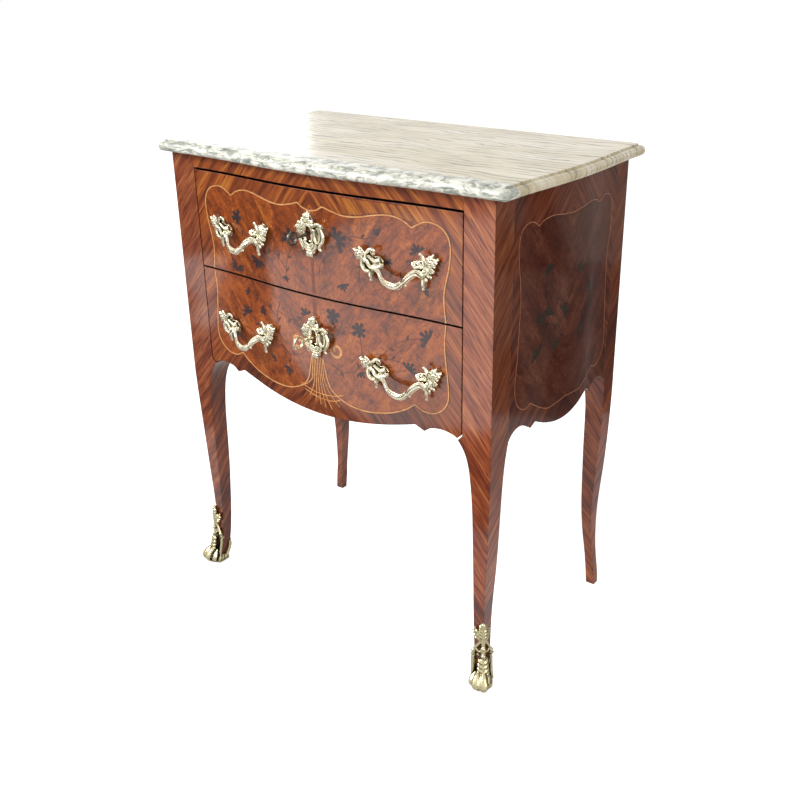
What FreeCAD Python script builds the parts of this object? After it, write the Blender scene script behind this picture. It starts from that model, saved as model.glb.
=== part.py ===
"""A two-drawer commode on cabriole legs, with a bowed front, a marble top and gilt mounts.

Millimetres, +Z up, the front faces -Y. The origin lies on the floor under the middle of
the whole piece. Shapes are drawn with the front arris of the posts at y = 0 and are moved
to that origin when they are written.
"""
import FreeCAD
import Part
import math
import os

# Carcase
CARCASE_WIDTH = 634.0
CARCASE_DEPTH = 372.0
LEG_HEIGHT = 430.0
BODY_HEIGHT = 352.0
POST_WIDTH = 50.0
FRONT_POST_DEPTH = 46.0
BACK_POST_WIDTH = 42.0
BACK_POST_DEPTH = 34.0
FRONT_BOW = 14.5
SIDE_BOW = 8.0
SIDE_PANEL_WALL = 15.0
BACK_PANEL_WALL = 10.0
BACK_PANEL_INSET = 10.0
EAR_DROP = 9.0

# Marble slab
MARBLE_THICKNESS = 18.0
MARBLE_QUIRK = 3.0
MARBLE_QUIRK_INSET = 9.5
MARBLE_SIDE_OVERHANG = 24.0
MARBLE_FRONT_OVERHANG = 13.0
MARBLE_BACK_OVERHANG = 12.0
MARBLE_CORNER_RADIUS = 10.5
MARBLE_NOSE_RADIUS = 7.0

# Frame inside the carcase
TOP_RAIL_HEIGHT = 21.0
RAIL_THICKNESS = 12.0
RAIL_DEPTH = 50.0
MIDDLE_RAIL_FACE_DEPTH = 10.0
BOTTOM_RAIL_FACE_DEPTH = 24.0
BOTTOM_BOARD_RISE = 6.0
BOTTOM_BOARD_THICKNESS = 6.0
BACK_RAIL_HEIGHT = 30.0
RUNNER_REACH = 52.0
GUIDE_WIDTH = 12.0
GUIDE_HEIGHT = 15.0
KICKER_HEIGHT = 27.0
STOP_WIDTH = 18.0
STOP_HEIGHT = 26.0

# Drawers
DRAWER_GAP = 2.0
DRAWER_TOP_GAP = 3.5
DIVISION_SHARE = 0.4716
DIVISION_GAP = 3.0
FRONT_INNER_DEPTH = 22.0
LIP_DEPTH = 8.0
LIP_CLEARANCE = 1.0
SIDE_SETBACK = 3.0
DRAWER_SIDE_THICKNESS = 11.0
DRAWER_BACK_THICKNESS = 10.0
DRAWER_BOTTOM_THICKNESS = 6.0
DRAWER_BOTTOM_RISE = 10.0
DRAWER_SIDE_DROP = 9.0
GROOVE_DEPTH = 5.0
TAIL_LENGTH = 12.0
TAIL_COUNT = 4
TAIL_FLARE_SHARE = 0.16
TAIL_WIDTH_SHARE = 0.56
DRAWER_BACK_GAP = 14.0

# Shaped lower edges, measured down from the top of the legs
APRON_CENTRE_DROP = 31.0
APRON_SHOULDER_DROP = 3.5
APRON_CUSP_DROP = 10.5
APRON_CORNER_DROP = 6.0
SIDE_APRON_CENTRE_DROP = 25.0
SIDE_APRON_SHOULDER_DROP = 5.0
SIDE_APRON_CUSP_DROP = 12.0
SIDE_APRON_END_DROP = 14.0
# Shares of half the span: shoulder, cusp, foot of the cusp, top of the arch
APRON_SHARES = (0.69, 0.752, 0.79, 0.86)
SIDE_APRON_SHARES = (0.53, 0.61, 0.68, 0.86)
APRON_CORNER_SHARE = 0.974

# Leg patterns. Each pair is a share of the post, inwards from the named face, and a share
# of the leg's height.
FRONT_LEG_OUTER_SHARES = ((0.0, 1.0), (0.01, 0.872), (0.032, 0.79), (0.082, 0.63), (0.145, 0.465),
                          (0.208, 0.29), (0.2, 0.186), (0.12, 0.07), (0.02, 0.0))
FRONT_LEG_INNER_SHARES = ((0.4, 0.0), (0.53, 0.14), (0.594, 0.279), (0.608, 0.43), (0.63, 0.607),
                          (0.666, 0.767), (0.72, 0.842), (0.84, 0.916))
FRONT_LEG_EAR_SHARES = (1.16, 0.979)
FRONT_LEG_FACE_SHARES = ((0.0, 1.0), (0.007, 0.872), (0.024, 0.79), (0.067, 0.63), (0.095, 0.465),
                         (0.13, 0.29), (0.12, 0.186), (0.02, 0.07), (-0.12, 0.0))
FRONT_LEG_REAR_SHARES = ((0.3, 0.0), (0.52, 0.14), (0.615, 0.284), (0.663, 0.365), (0.709, 0.444),
                         (0.739, 0.605), (0.76, 0.77), (0.83, 0.885), (1.0, 0.967))
BACK_LEG_OUTER_SHARES = ((0.0, 1.0), (0.024, 0.79), (0.143, 0.558), (0.286, 0.36), (0.279, 0.256),
                         (0.2, 0.145), (0.07, 0.042), (0.036, 0.0))
BACK_LEG_INNER_SHARES = ((0.4, 0.0), (0.44, 0.042), (0.55, 0.147), (0.68, 0.256), (0.76, 0.36),
                         (0.77, 0.535), (0.78, 0.7), (0.79, 0.79), (0.85, 0.895), (1.0, 0.967))
BACK_LEG_FACE_SHARES = ((1.0, 0.967), (0.882, 0.895), (0.853, 0.79), (0.868, 0.7), (0.82, 0.535),
                        (0.69, 0.36), (0.62, 0.256), (0.515, 0.147), (0.47, 0.042), (0.455, 0.0))
BACK_LEG_REAR_SHARES = ((0.06, 0.0), (0.03, 0.042), (0.06, 0.147), (0.03, 0.36), (0.0, 0.7), (0.0, 1.0))

# Sabots, drawn on the same posts as the front legs
SABOT_HEIGHT = 128.0
SABOT_CUFF_HEIGHT = 62.0
SABOT_BREADTH = 36.0
SABOT_OUTER_SHARES = ((0.15, 1.0), (0.148, 0.7), (0.112, 0.47), (0.02, 0.234), (-0.16, 0.094), (-0.13, 0.0))
SABOT_INNER_SHARES = ((0.48, 0.0), (0.55, 0.2), (0.61, 0.47), (0.656, 1.0))
SABOT_FACE_SHARES = ((0.07, 1.0), (0.06, 0.625), (-0.08, 0.27), (-0.42, 0.12), (-0.46, 0.06), (-0.36, 0.0))
SABOT_REAR_SHARES = ((0.39, 0.0), (0.56, 0.2), (0.64, 0.47), (0.68, 1.0))
SABOT_TURN = 45.0
SABOT_PIN_RADIUS = 1.2
SABOT_PIN_LENGTH = 9.0
SABOT_PIN_HEAD = 0.8
SABOT_PIN_HEIGHT_SHARE = 0.42

# Gilt handles
HANDLE_CENTRE = 158.0
HANDLE_DROP = 88.5
HANDLE_WIDTH = 150.0
HANDLE_HEIGHT = 54.0
HANDLE_PLATE = 6.0
HANDLE_POST_SPACING = 96.0
BAIL_RADIUS = 4.2
BAIL_BEND_RADIUS = 26.0
BAIL_STANDOFF = 21.0
BAIL_DROP = 27.0
LEFT_ROSETTE_SHARES = ((-0.5, 0.37), (-0.45, 0.2), (-0.41, 0.0), (-0.35, -0.19), (-0.3, -0.42),
                       (-0.255, -0.36), (-0.2, -0.18), (-0.145, 0.06), (-0.17, 0.22), (-0.24, 0.3),
                       (-0.28, 0.43), (-0.36, 0.36), (-0.43, 0.44))
RIGHT_ROSETTE_SHARES = ((0.18, 0.18), (0.25, 0.44), (0.33, 0.56), (0.43, 0.56), (0.49, 0.43),
                        (0.47, 0.22), (0.42, -0.04), (0.36, -0.2), (0.33, -0.42), (0.28, -0.38),
                        (0.26, -0.15), (0.19, -0.04))
HANDLE_BOLT_RADIUS = 2.0
HANDLE_BOLT_TAIL = 5.5
NUT_RADIUS = 5.0
NUT_THICKNESS = 4.0
NUT_SIDES = 6

# Escutcheons and locks
KEYHOLE_DROP = 63.0
ESCUTCHEON_WIDTH = 54.0
ESCUTCHEON_HEIGHT = 72.0
ESCUTCHEON_PLATE = 4.0
ESCUTCHEON_SHARES = ((0.0, 0.5), (0.12, 0.36), (0.24, 0.3), (0.46, 0.26), (0.5, 0.04), (0.36, -0.16),
                     (0.42, -0.3), (0.2, -0.28), (0.0, -0.5), (-0.2, -0.28), (-0.42, -0.3),
                     (-0.36, -0.16), (-0.5, 0.04), (-0.46, 0.2), (-0.24, 0.3), (-0.12, 0.36))
ESCUTCHEON_PIN_RADIUS = 0.9
ESCUTCHEON_PIN_LENGTH = 10.0
ESCUTCHEON_PIN_HEAD = 1.0
ESCUTCHEON_PIN_SHARES = (0.36, -0.36)
KEYHOLE_SLOT_WIDTH = 3.6
KEYHOLE_SLOT_DROP = 9.5
LOCK_WIDTH = 60.0
LOCK_PLATE_WIDTH = 78.0
LOCK_FOOT = 19.0
LOCK_DEPTH = 14.0
LOCK_WALL = 2.0
LOCK_SCREW_RADIUS = 1.5
LOCK_SCREW_LENGTH = 9.0
LOCK_SCREW_HEAD = 1.2
LOCK_SCREW_SHARES = (0.15, 0.85)
BOLT_WIDTH = 14.0
BOLT_THICKNESS = 4.0
BOLT_FOOT = 9.0
BOLT_INSET = 2.0
BOLT_TRAVEL = 10.0
BOLT_SUNK = 0.5
MORTISE_MARGIN = 2.5

# Keys
KEY_SHAFT_RADIUS = 2.6
KEY_BOW_STANDOFF = 40.0
KEY_BOW_RADIUS = 9.0
KEY_BOW_WIRE = 2.0
KEY_BIT_HEIGHT = 9.0
KEY_BIT_THICKNESS = 2.4
KEY_BIT_LENGTH = 4.0

# Fits
GLUE_CLEARANCE = 0.15
RUN_CLEARANCE = 0.3
MOUNT_CLEARANCE = 0.3
KEY_CLEARANCE = 0.5
OVERRUN = 40.0

HALF_WIDTH = CARCASE_WIDTH / 2
CARCASE_HEIGHT = LEG_HEIGHT + BODY_HEIGHT
HALF_OPENING = HALF_WIDTH - POST_WIDTH
HALF_BACK_OPENING = HALF_WIDTH - BACK_POST_WIDTH
HALF_DRAWER = HALF_OPENING - DRAWER_GAP
PANEL_INNER_X = HALF_WIDTH - SIDE_PANEL_WALL
BACK_POST_Y = CARCASE_DEPTH - BACK_POST_DEPTH
BACK_PANEL_Y = CARCASE_DEPTH - BACK_PANEL_INSET - BACK_PANEL_WALL
SIDE_CENTRE_Y = (FRONT_POST_DEPTH + BACK_POST_Y) / 2
HALF_SIDE_SPAN = (BACK_POST_Y - FRONT_POST_DEPTH) / 2
RAIL_BACK_Y = MIDDLE_RAIL_FACE_DEPTH + RAIL_DEPTH

TOP_RAIL_Z = CARCASE_HEIGHT - TOP_RAIL_HEIGHT
TOP_FRONT_TOP_Z = TOP_RAIL_Z - DRAWER_TOP_GAP
DIVISION_Z = LEG_HEIGHT + BODY_HEIGHT * DIVISION_SHARE
TOP_FRONT_BOTTOM_Z = DIVISION_Z + DIVISION_GAP / 2
BOTTOM_FRONT_TOP_Z = DIVISION_Z - DIVISION_GAP / 2
BOARD_Z = LEG_HEIGHT + BOTTOM_BOARD_RISE
LOWER_RUNNER_Z = BOARD_Z + BOTTOM_BOARD_THICKNESS
UPPER_RUNNER_Z = TOP_FRONT_BOTTOM_Z
DRAWER_SIDE_X = HALF_DRAWER - SIDE_SETBACK
DRAWER_INNER_X = DRAWER_SIDE_X - DRAWER_SIDE_THICKNESS
DRAWER_END_Y = BACK_PANEL_Y - DRAWER_BACK_GAP
LOCK_HEIGHT = KEYHOLE_DROP + LOCK_FOOT
BOLT_DROP = KEYHOLE_DROP + BOLT_FOOT
LOCK_FACE_Y = FRONT_INNER_DEPTH - LOCK_DEPTH
LOCK_BACK_Y = FRONT_INNER_DEPTH - LOCK_WALL
BOLT_Y = LOCK_BACK_Y - BOLT_INSET - BOLT_THICKNESS
KEY_FRONT_REACH = FRONT_BOW + KEY_BOW_STANDOFF + KEY_BOW_RADIUS + KEY_BOW_WIRE
CENTRE_Y = (CARCASE_DEPTH + MARBLE_BACK_OVERHANG - KEY_FRONT_REACH) / 2

ACROSS = FreeCAD.Vector(1, 0, 0)
INTO = FreeCAD.Vector(0, 1, 0)
UP = FreeCAD.Vector(0, 0, 1)
ORIGIN = FreeCAD.Vector(0, 0, 0)


def vec(x, y, z):
    return FreeCAD.Vector(x, y, z)


def line(start, end):
    return Part.LineSegment(start, end).toShape()


def arc(start, middle, end):
    return Part.Arc(start, middle, end).toShape()


def curve(points):
    spline = Part.BSplineCurve()
    spline.interpolate(points)
    return spline.toShape()


def closed_curve(points):
    spline = Part.BSplineCurve()
    spline.interpolate(points, PeriodicFlag=True)
    return spline.toShape()


def prism(edges, run):
    return Part.Face(Part.Wire(edges)).extrude(run)


def box(x0, x1, y0, y1, z0, z1):
    return Part.makeBox(x1 - x0, y1 - y0, z1 - z0, vec(x0, y0, z0))


def cylinder(radius, start, end):
    return Part.makeCylinder(radius, (end - start).Length, start, end - start)


def mirrored(shape):
    return shape.mirror(ORIGIN, ACROSS)


def write(name, *solids):
    group = solids[0] if len(solids) == 1 else Part.makeCompound(list(solids))
    group = group.copy()
    group.translate(vec(0, -CENTRE_Y, 0))
    group.exportStep(os.path.join("parts", name + ".step"))


def serpentine(start, end, bow):
    """Three tangent arcs from start to end that swell by the vector bow in the middle."""
    run = end - start
    quarter = run.Length / 4
    rise = bow.Length / 2
    radius = (quarter ** 2 + rise ** 2) / (2 * rise)
    sag = radius - math.sqrt(radius ** 2 - (quarter / 2) ** 2)
    flank = bow * (sag / bow.Length)
    first = start + run / 4 + bow / 2
    last = end - run / 4 + bow / 2
    return [
        arc(start, start + run / 8 + flank, first),
        arc(first, start + run / 2 + bow, last),
        arc(last, end - run / 8 + flank, end),
    ]


def front_y(x):
    """Depth of the bowed front at x, on the same arcs as the serpentine."""
    quarter = HALF_OPENING / 2
    rise = FRONT_BOW / 2
    radius = (quarter ** 2 + rise ** 2) / (2 * rise)
    if abs(x) <= quarter:
        return radius - math.sqrt(radius ** 2 - x ** 2) - FRONT_BOW
    from_end = HALF_OPENING - abs(x)
    return math.sqrt(radius ** 2 - from_end ** 2) - radius


def bowed_slab(half_width, back_y, z0, z1):
    """A board between two heights with the bowed front and a flat back."""
    left = vec(-HALF_OPENING, 0, z0)
    right = vec(HALF_OPENING, 0, z0)
    edges = serpentine(left, right, vec(0, -FRONT_BOW, 0))
    edges += [
        line(right, vec(HALF_OPENING, back_y, z0)),
        line(vec(HALF_OPENING, back_y, z0), vec(-HALF_OPENING, back_y, z0)),
        line(vec(-HALF_OPENING, back_y, z0), left),
    ]
    slab = prism(edges, vec(0, 0, z1 - z0))
    return slab.common(box(-half_width, half_width, -OVERRUN, back_y, z0, z1))


# Marble slab


def marble_outline(inset, z):
    """Plan of the slab, set in from its nose, as one closed wire."""
    x = HALF_WIDTH + MARBLE_SIDE_OVERHANG - inset
    front = inset - MARBLE_FRONT_OVERHANG
    back = CARCASE_DEPTH + MARBLE_BACK_OVERHANG - inset
    radius = MARBLE_CORNER_RADIUS - inset / 2
    nick = radius * (1 - math.sqrt(0.5))
    shoulder = HALF_OPENING
    edges = serpentine(vec(-shoulder, front, z), vec(shoulder, front, z), vec(0, -FRONT_BOW, 0))
    edges.append(line(vec(shoulder, front, z), vec(x - radius, front, z)))
    edges.append(arc(vec(x - radius, front, z), vec(x - nick, front + nick, z), vec(x, front + radius, z)))
    edges += serpentine(vec(x, front + radius, z), vec(x, back - radius, z), vec(SIDE_BOW, 0, 0))
    edges.append(arc(vec(x, back - radius, z), vec(x - nick, back - nick, z), vec(x - radius, back, z)))
    edges.append(line(vec(x - radius, back, z), vec(radius - x, back, z)))
    edges.append(arc(vec(radius - x, back, z), vec(nick - x, back - nick, z), vec(-x, back - radius, z)))
    edges += serpentine(vec(-x, back - radius, z), vec(-x, front + radius, z), vec(-SIDE_BOW, 0, 0))
    edges.append(arc(vec(-x, front + radius, z), vec(nick - x, front + nick, z), vec(radius - x, front, z)))
    edges.append(line(vec(radius - x, front, z), vec(-shoulder, front, z)))
    return Part.Wire(edges)


def make_marble_top():
    lower = MARBLE_THICKNESS - MARBLE_QUIRK
    slab = Part.Face(marble_outline(0, CARCASE_HEIGHT)).extrude(vec(0, 0, lower))
    rims = [edge for edge in slab.Edges if abs(edge.BoundBox.ZLength) < MARBLE_QUIRK / 2]
    slab = slab.makeFillet(MARBLE_NOSE_RADIUS, rims)
    plate = Part.Face(marble_outline(MARBLE_QUIRK_INSET, CARCASE_HEIGHT + lower / 2))
    return slab.fuse(plate.extrude(vec(0, 0, MARBLE_THICKNESS - lower / 2))).removeSplitter()


# Legs and sabots, drawn for the right side


def front_points(shares, width, y, height):
    return [vec(HALF_WIDTH - across * width, y, up * height) for across, up in shares]


def side_points(shares, depth, x, height, face_y, sense):
    return [vec(x, face_y + sense * inward * depth, up * height) for inward, up in shares]


def ring(first, second):
    """Close two point runs, one up each side, into an outline of two curves and two lines."""
    return [curve(first), line(first[-1], second[0]), curve(second), line(second[-1], first[0])]


def make_front_leg():
    """Post and cabriole leg sawn from one timber to a front and a side pattern."""
    y0 = -OVERRUN
    outer = front_points(FRONT_LEG_OUTER_SHARES, POST_WIDTH, y0, LEG_HEIGHT)
    inner = front_points(FRONT_LEG_INNER_SHARES, POST_WIDTH, y0, LEG_HEIGHT)
    ear = front_points((FRONT_LEG_EAR_SHARES,), POST_WIDTH, y0, LEG_HEIGHT)[0]
    ear_root = vec(HALF_OPENING, y0, ear.z + EAR_DROP)
    post_top = vec(HALF_OPENING, y0, CARCASE_HEIGHT)
    corner = vec(HALF_WIDTH, y0, CARCASE_HEIGHT)
    edges = [
        curve(outer),
        line(outer[-1], inner[0]),
        curve(inner + [ear]),
        line(ear, ear_root),
        line(ear_root, post_top),
        line(post_top, corner),
        line(corner, outer[0]),
    ]
    front = prism(edges, vec(0, OVERRUN + CARCASE_DEPTH, 0))
    x0 = HALF_OPENING - OVERRUN
    face = side_points(FRONT_LEG_FACE_SHARES, FRONT_POST_DEPTH, x0, LEG_HEIGHT, 0, 1)
    rear = side_points(FRONT_LEG_REAR_SHARES, FRONT_POST_DEPTH, x0, LEG_HEIGHT, 0, 1)
    back_top = vec(x0, FRONT_POST_DEPTH, CARCASE_HEIGHT)
    face_top = vec(x0, 0, CARCASE_HEIGHT)
    edges = [
        curve(face),
        line(face[-1], rear[0]),
        curve(rear),
        line(rear[-1], back_top),
        line(back_top, face_top),
        line(face_top, face[0]),
    ]
    side = prism(edges, vec(OVERRUN + HALF_WIDTH, 0, 0))
    return front.common(side)


def make_back_leg():
    y0 = FRONT_POST_DEPTH
    outer = front_points(BACK_LEG_OUTER_SHARES, BACK_POST_WIDTH, y0, LEG_HEIGHT)
    inner = front_points(BACK_LEG_INNER_SHARES, BACK_POST_WIDTH, y0, LEG_HEIGHT)
    post_top = vec(HALF_BACK_OPENING, y0, CARCASE_HEIGHT)
    corner = vec(HALF_WIDTH, y0, CARCASE_HEIGHT)
    edges = [
        curve(outer),
        line(outer[-1], inner[0]),
        curve(inner),
        line(inner[-1], post_top),
        line(post_top, corner),
        line(corner, outer[0]),
    ]
    front = prism(edges, vec(0, CARCASE_DEPTH, 0))
    x0 = HALF_BACK_OPENING - OVERRUN
    face = side_points(BACK_LEG_FACE_SHARES, BACK_POST_DEPTH, x0, LEG_HEIGHT, CARCASE_DEPTH, -1)
    rear = side_points(BACK_LEG_REAR_SHARES, BACK_POST_DEPTH, x0, LEG_HEIGHT, CARCASE_DEPTH, -1)
    back_top = vec(x0, CARCASE_DEPTH, CARCASE_HEIGHT)
    face_top = vec(x0, BACK_POST_Y, CARCASE_HEIGHT)
    edges = [
        curve(face),
        line(face[-1], rear[0]),
        curve(rear),
        line(rear[-1], back_top),
        line(back_top, face_top),
        line(face_top, face[0]),
    ]
    side = prism(edges, vec(OVERRUN + HALF_WIDTH, 0, 0))
    return front.common(side)


def sabot_arris():
    """The point where the sabot's leaf ends on the outer arris of the leg."""
    return vec(HALF_WIDTH - SABOT_OUTER_SHARES[0][0] * POST_WIDTH,
               SABOT_FACE_SHARES[0][0] * FRONT_POST_DEPTH, SABOT_HEIGHT)


def sabot_slope():
    """Everything above the sabot's rim, which falls from the outer arris to the inner corner."""
    middle = (1 - SABOT_INNER_SHARES[-1][0]) * POST_WIDTH
    inward = vec(-middle, middle, SABOT_CUFF_HEIGHT - SABOT_HEIGHT)
    reach = inward * (OVERRUN / middle)
    aside = vec(POST_WIDTH, POST_WIDTH, 0)
    arris = sabot_arris()
    corners = [arris - reach - aside, arris + reach - aside, arris + reach + aside, arris - reach + aside]
    return Part.Face(Part.makePolygon(corners + corners[:1])).extrude(vec(0, 0, CARCASE_HEIGHT))


def sabot_breadth():
    """An upright slab along the diagonal of the post, as broad as the shoe."""
    half = SABOT_BREADTH / 2
    slab = box(-OVERRUN - POST_WIDTH, OVERRUN, -half, half, 0, SABOT_HEIGHT)
    slab.rotate(ORIGIN, UP, -SABOT_TURN)
    arris = sabot_arris()
    slab.translate(vec(arris.x, arris.y, 0))
    return slab


def make_sabot(leg):
    """A cast shoe: a wall round the foot whose rim climbs to a point on the outer arris."""
    y0 = -OVERRUN
    outer = front_points(SABOT_OUTER_SHARES, POST_WIDTH, y0, SABOT_HEIGHT)
    inner = front_points(SABOT_INNER_SHARES, POST_WIDTH, y0, SABOT_HEIGHT)
    front = prism(ring(outer, inner), vec(0, OVERRUN + CARCASE_DEPTH, 0))
    x0 = HALF_OPENING - OVERRUN
    face = side_points(SABOT_FACE_SHARES, FRONT_POST_DEPTH, x0, SABOT_HEIGHT, 0, 1)
    rear = side_points(SABOT_REAR_SHARES, FRONT_POST_DEPTH, x0, SABOT_HEIGHT, 0, 1)
    side = prism(ring(face, rear), vec(OVERRUN + POST_WIDTH + OVERRUN, 0, 0))
    return front.common(side).common(sabot_breadth()).cut(sabot_slope()).cut(leg)


def sabot_pins(sabot):
    """Two nails through each shoe, one in each outer face, with their heads on the metal."""
    z = SABOT_HEIGHT * SABOT_PIN_HEIGHT_SHARE
    middle_x = HALF_WIDTH - POST_WIDTH * (SABOT_OUTER_SHARES[2][0] + SABOT_INNER_SHARES[2][0]) / 2
    middle_y = FRONT_POST_DEPTH * (SABOT_FACE_SHARES[1][0] + SABOT_REAR_SHARES[2][0]) / 2
    pins = []
    for through, aim in ((vec(middle_x, 0, z), INTO), (vec(0, middle_y, z), ACROSS * -1)):
        far = through - aim * CARCASE_WIDTH
        probe = line(far, far + aim * (CARCASE_WIDTH + HALF_WIDTH))
        skin = min(sabot.common(probe).Vertexes, key=lambda v: (v.Point - far).Length).Point
        head = cylinder(SABOT_PIN_RADIUS * 2, skin - aim * SABOT_PIN_HEAD, skin)
        shank = cylinder(SABOT_PIN_RADIUS, skin - aim * SABOT_PIN_HEAD / 2, skin + aim * SABOT_PIN_LENGTH)
        pins.append(head.cut(sabot).fuse(shank).removeSplitter())
    return pins


# Carcase panels and rails


def apron_edges(place, span, shares, drops, end_share, end_drop):
    """Half of a shaped lower edge, from the centre outwards: belly, shoulder, cusp and arch."""
    shoulder, cusp, foot, arch = (span * share for share in shares)
    centre_drop, shoulder_drop, cusp_drop = drops
    top = LEG_HEIGHT
    belly = [
        place(0, top - centre_drop),
        place(shoulder / 2, top - centre_drop + (centre_drop - shoulder_drop) / 4),
        place(shoulder, top - shoulder_drop),
    ]
    tip = place(cusp, top - cusp_drop)
    crown = place(arch, top)
    end = place(span * end_share, top - end_drop)
    lift = place(foot, top - shoulder_drop)
    return [arc(*belly), line(belly[-1], tip), line(tip, lift), arc(lift, crown, end)], end


def side_apron():
    """Closed side elevation of the panel between the posts."""
    drops = (SIDE_APRON_CENTRE_DROP, SIDE_APRON_SHOULDER_DROP, SIDE_APRON_CUSP_DROP)
    x = PANEL_INNER_X
    edges = []
    ends = []
    for sense in (1, -1):
        def place(along, z):
            return vec(x, SIDE_CENTRE_Y + sense * along, z)
        half, end = apron_edges(place, HALF_SIDE_SPAN, SIDE_APRON_SHARES, drops, 1, SIDE_APRON_END_DROP)
        edges += half
        ends.append(end)
    back_top = vec(x, BACK_POST_Y, CARCASE_HEIGHT)
    front_top = vec(x, FRONT_POST_DEPTH, CARCASE_HEIGHT)
    edges += [line(ends[0], back_top), line(back_top, front_top), line(front_top, ends[1])]
    return Part.Face(Part.Wire(Part.__sortEdges__(edges)))


def make_side_panel():
    """Right side: swelling plan between the posts, shaped lower edge."""
    blank = side_apron().extrude(vec(SIDE_PANEL_WALL + SIDE_BOW + OVERRUN, 0, 0))
    front = vec(HALF_WIDTH, FRONT_POST_DEPTH, 0)
    back = vec(HALF_WIDTH, BACK_POST_Y, 0)
    edges = serpentine(front, back, vec(SIDE_BOW, 0, 0))
    inner_back = vec(PANEL_INNER_X, BACK_POST_Y, 0)
    inner_front = vec(PANEL_INNER_X, FRONT_POST_DEPTH, 0)
    edges += [line(back, inner_back), line(inner_back, inner_front), line(inner_front, front)]
    return blank.common(prism(edges, vec(0, 0, CARCASE_HEIGHT)))


def bolt_mortise(z0, z1):
    half = BOLT_WIDTH / 2 + MORTISE_MARGIN
    y0 = BOLT_Y - MORTISE_MARGIN
    y1 = BOLT_Y + BOLT_THICKNESS + MORTISE_MARGIN
    return box(-half, half, y0, y1, z0, z1)


def make_top_front_rail():
    rail = bowed_slab(HALF_OPENING, RAIL_BACK_Y, TOP_RAIL_Z, CARCASE_HEIGHT)
    return rail.cut(bolt_mortise(TOP_RAIL_Z - BOLT_TRAVEL, TOP_RAIL_Z + BOLT_TRAVEL))


def make_middle_rail():
    top = UPPER_RUNNER_Z + RAIL_THICKNESS
    rail = box(-HALF_OPENING, HALF_OPENING, MIDDLE_RAIL_FACE_DEPTH, RAIL_BACK_Y, UPPER_RUNNER_Z, top)
    return rail.cut(bolt_mortise(UPPER_RUNNER_Z - BOLT_TRAVEL, UPPER_RUNNER_Z + BOLT_TRAVEL))


def make_bottom_front_rail():
    y0 = BOTTOM_RAIL_FACE_DEPTH
    top = LOWER_RUNNER_Z + RAIL_THICKNESS
    return box(-HALF_OPENING, HALF_OPENING, y0, RAIL_BACK_Y, LOWER_RUNNER_Z, top)


def make_runner(z):
    x0 = PANEL_INNER_X - RUNNER_REACH
    return box(x0, PANEL_INNER_X, RAIL_BACK_Y, BACK_POST_Y, z, z + RAIL_THICKNESS)


def make_guide(z):
    x0 = DRAWER_SIDE_X + RUN_CLEARANCE
    y0 = RAIL_BACK_Y
    floor = z + RAIL_THICKNESS
    return box(x0, x0 + GUIDE_WIDTH, y0, BACK_POST_Y, floor, floor + GUIDE_HEIGHT)


def make_kicker():
    x0 = PANEL_INNER_X - RUNNER_REACH
    z0 = CARCASE_HEIGHT - KICKER_HEIGHT
    return box(x0, PANEL_INNER_X, RAIL_BACK_Y, BACK_POST_Y, z0, CARCASE_HEIGHT)


def drawer_stops():
    """Four blocks glued to the back panel, where the drawers come to rest."""
    stops = []
    for z in (LOWER_RUNNER_Z, UPPER_RUNNER_Z):
        z0 = z + RAIL_THICKNESS + RUN_CLEARANCE
        x0 = DRAWER_SIDE_X - STOP_WIDTH
        y0 = DRAWER_END_Y + RUN_CLEARANCE
        block = box(x0, DRAWER_SIDE_X, y0, BACK_PANEL_Y, z0, z0 + STOP_HEIGHT)
        stops += [block, mirrored(block)]
    return stops


def write_carcase():
    front_leg = make_front_leg()
    back_leg = make_back_leg()
    sabot = make_sabot(front_leg)
    pins = sabot_pins(sabot)
    for pin in pins:
        sabot = sabot.cut(pin)
        front_leg = front_leg.cut(pin)
    write("marble_top", make_marble_top())
    write("sabot_pins", *pins, *[mirrored(pin) for pin in pins])
    paired = {
        "front_%s_leg": front_leg,
        "back_%s_leg": back_leg,
        "%s_sabot": sabot,
        "%s_side_panel": make_side_panel(),
        "upper_%s_runner": make_runner(UPPER_RUNNER_Z),
        "lower_%s_runner": make_runner(LOWER_RUNNER_Z),
        "upper_%s_guide": make_guide(UPPER_RUNNER_Z),
        "lower_%s_guide": make_guide(LOWER_RUNNER_Z),
        "%s_kicker": make_kicker(),
    }
    for name, solid in paired.items():
        write(name % "right", solid)
        write(name % "left", mirrored(solid))
    write("top_front_rail", make_top_front_rail())
    write("middle_rail", make_middle_rail())
    write("bottom_front_rail", make_bottom_front_rail())
    rail_x = HALF_BACK_OPENING
    rail_z = CARCASE_HEIGHT - BACK_RAIL_HEIGHT
    board_x = PANEL_INNER_X
    write("top_back_rail", box(-rail_x, rail_x, BACK_POST_Y, BACK_PANEL_Y, rail_z, CARCASE_HEIGHT))
    write("back_panel", box(-rail_x, rail_x, BACK_PANEL_Y, BACK_PANEL_Y + BACK_PANEL_WALL,
                            BOARD_Z, CARCASE_HEIGHT))
    write("bottom_board", box(-board_x, board_x, FRONT_POST_DEPTH, BACK_POST_Y, BOARD_Z, LOWER_RUNNER_Z))
    write("drawer_stops", *drawer_stops())


# Drawers


def keyhole(y0, y1, z):
    radius = KEY_SHAFT_RADIUS + KEY_CLEARANCE
    half = KEYHOLE_SLOT_WIDTH / 2
    slot = box(-half, half, y0, y1, z - KEYHOLE_SLOT_DROP, z)
    return cylinder(radius, vec(0, y0, z), vec(0, y1, z)).fuse(slot)


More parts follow.
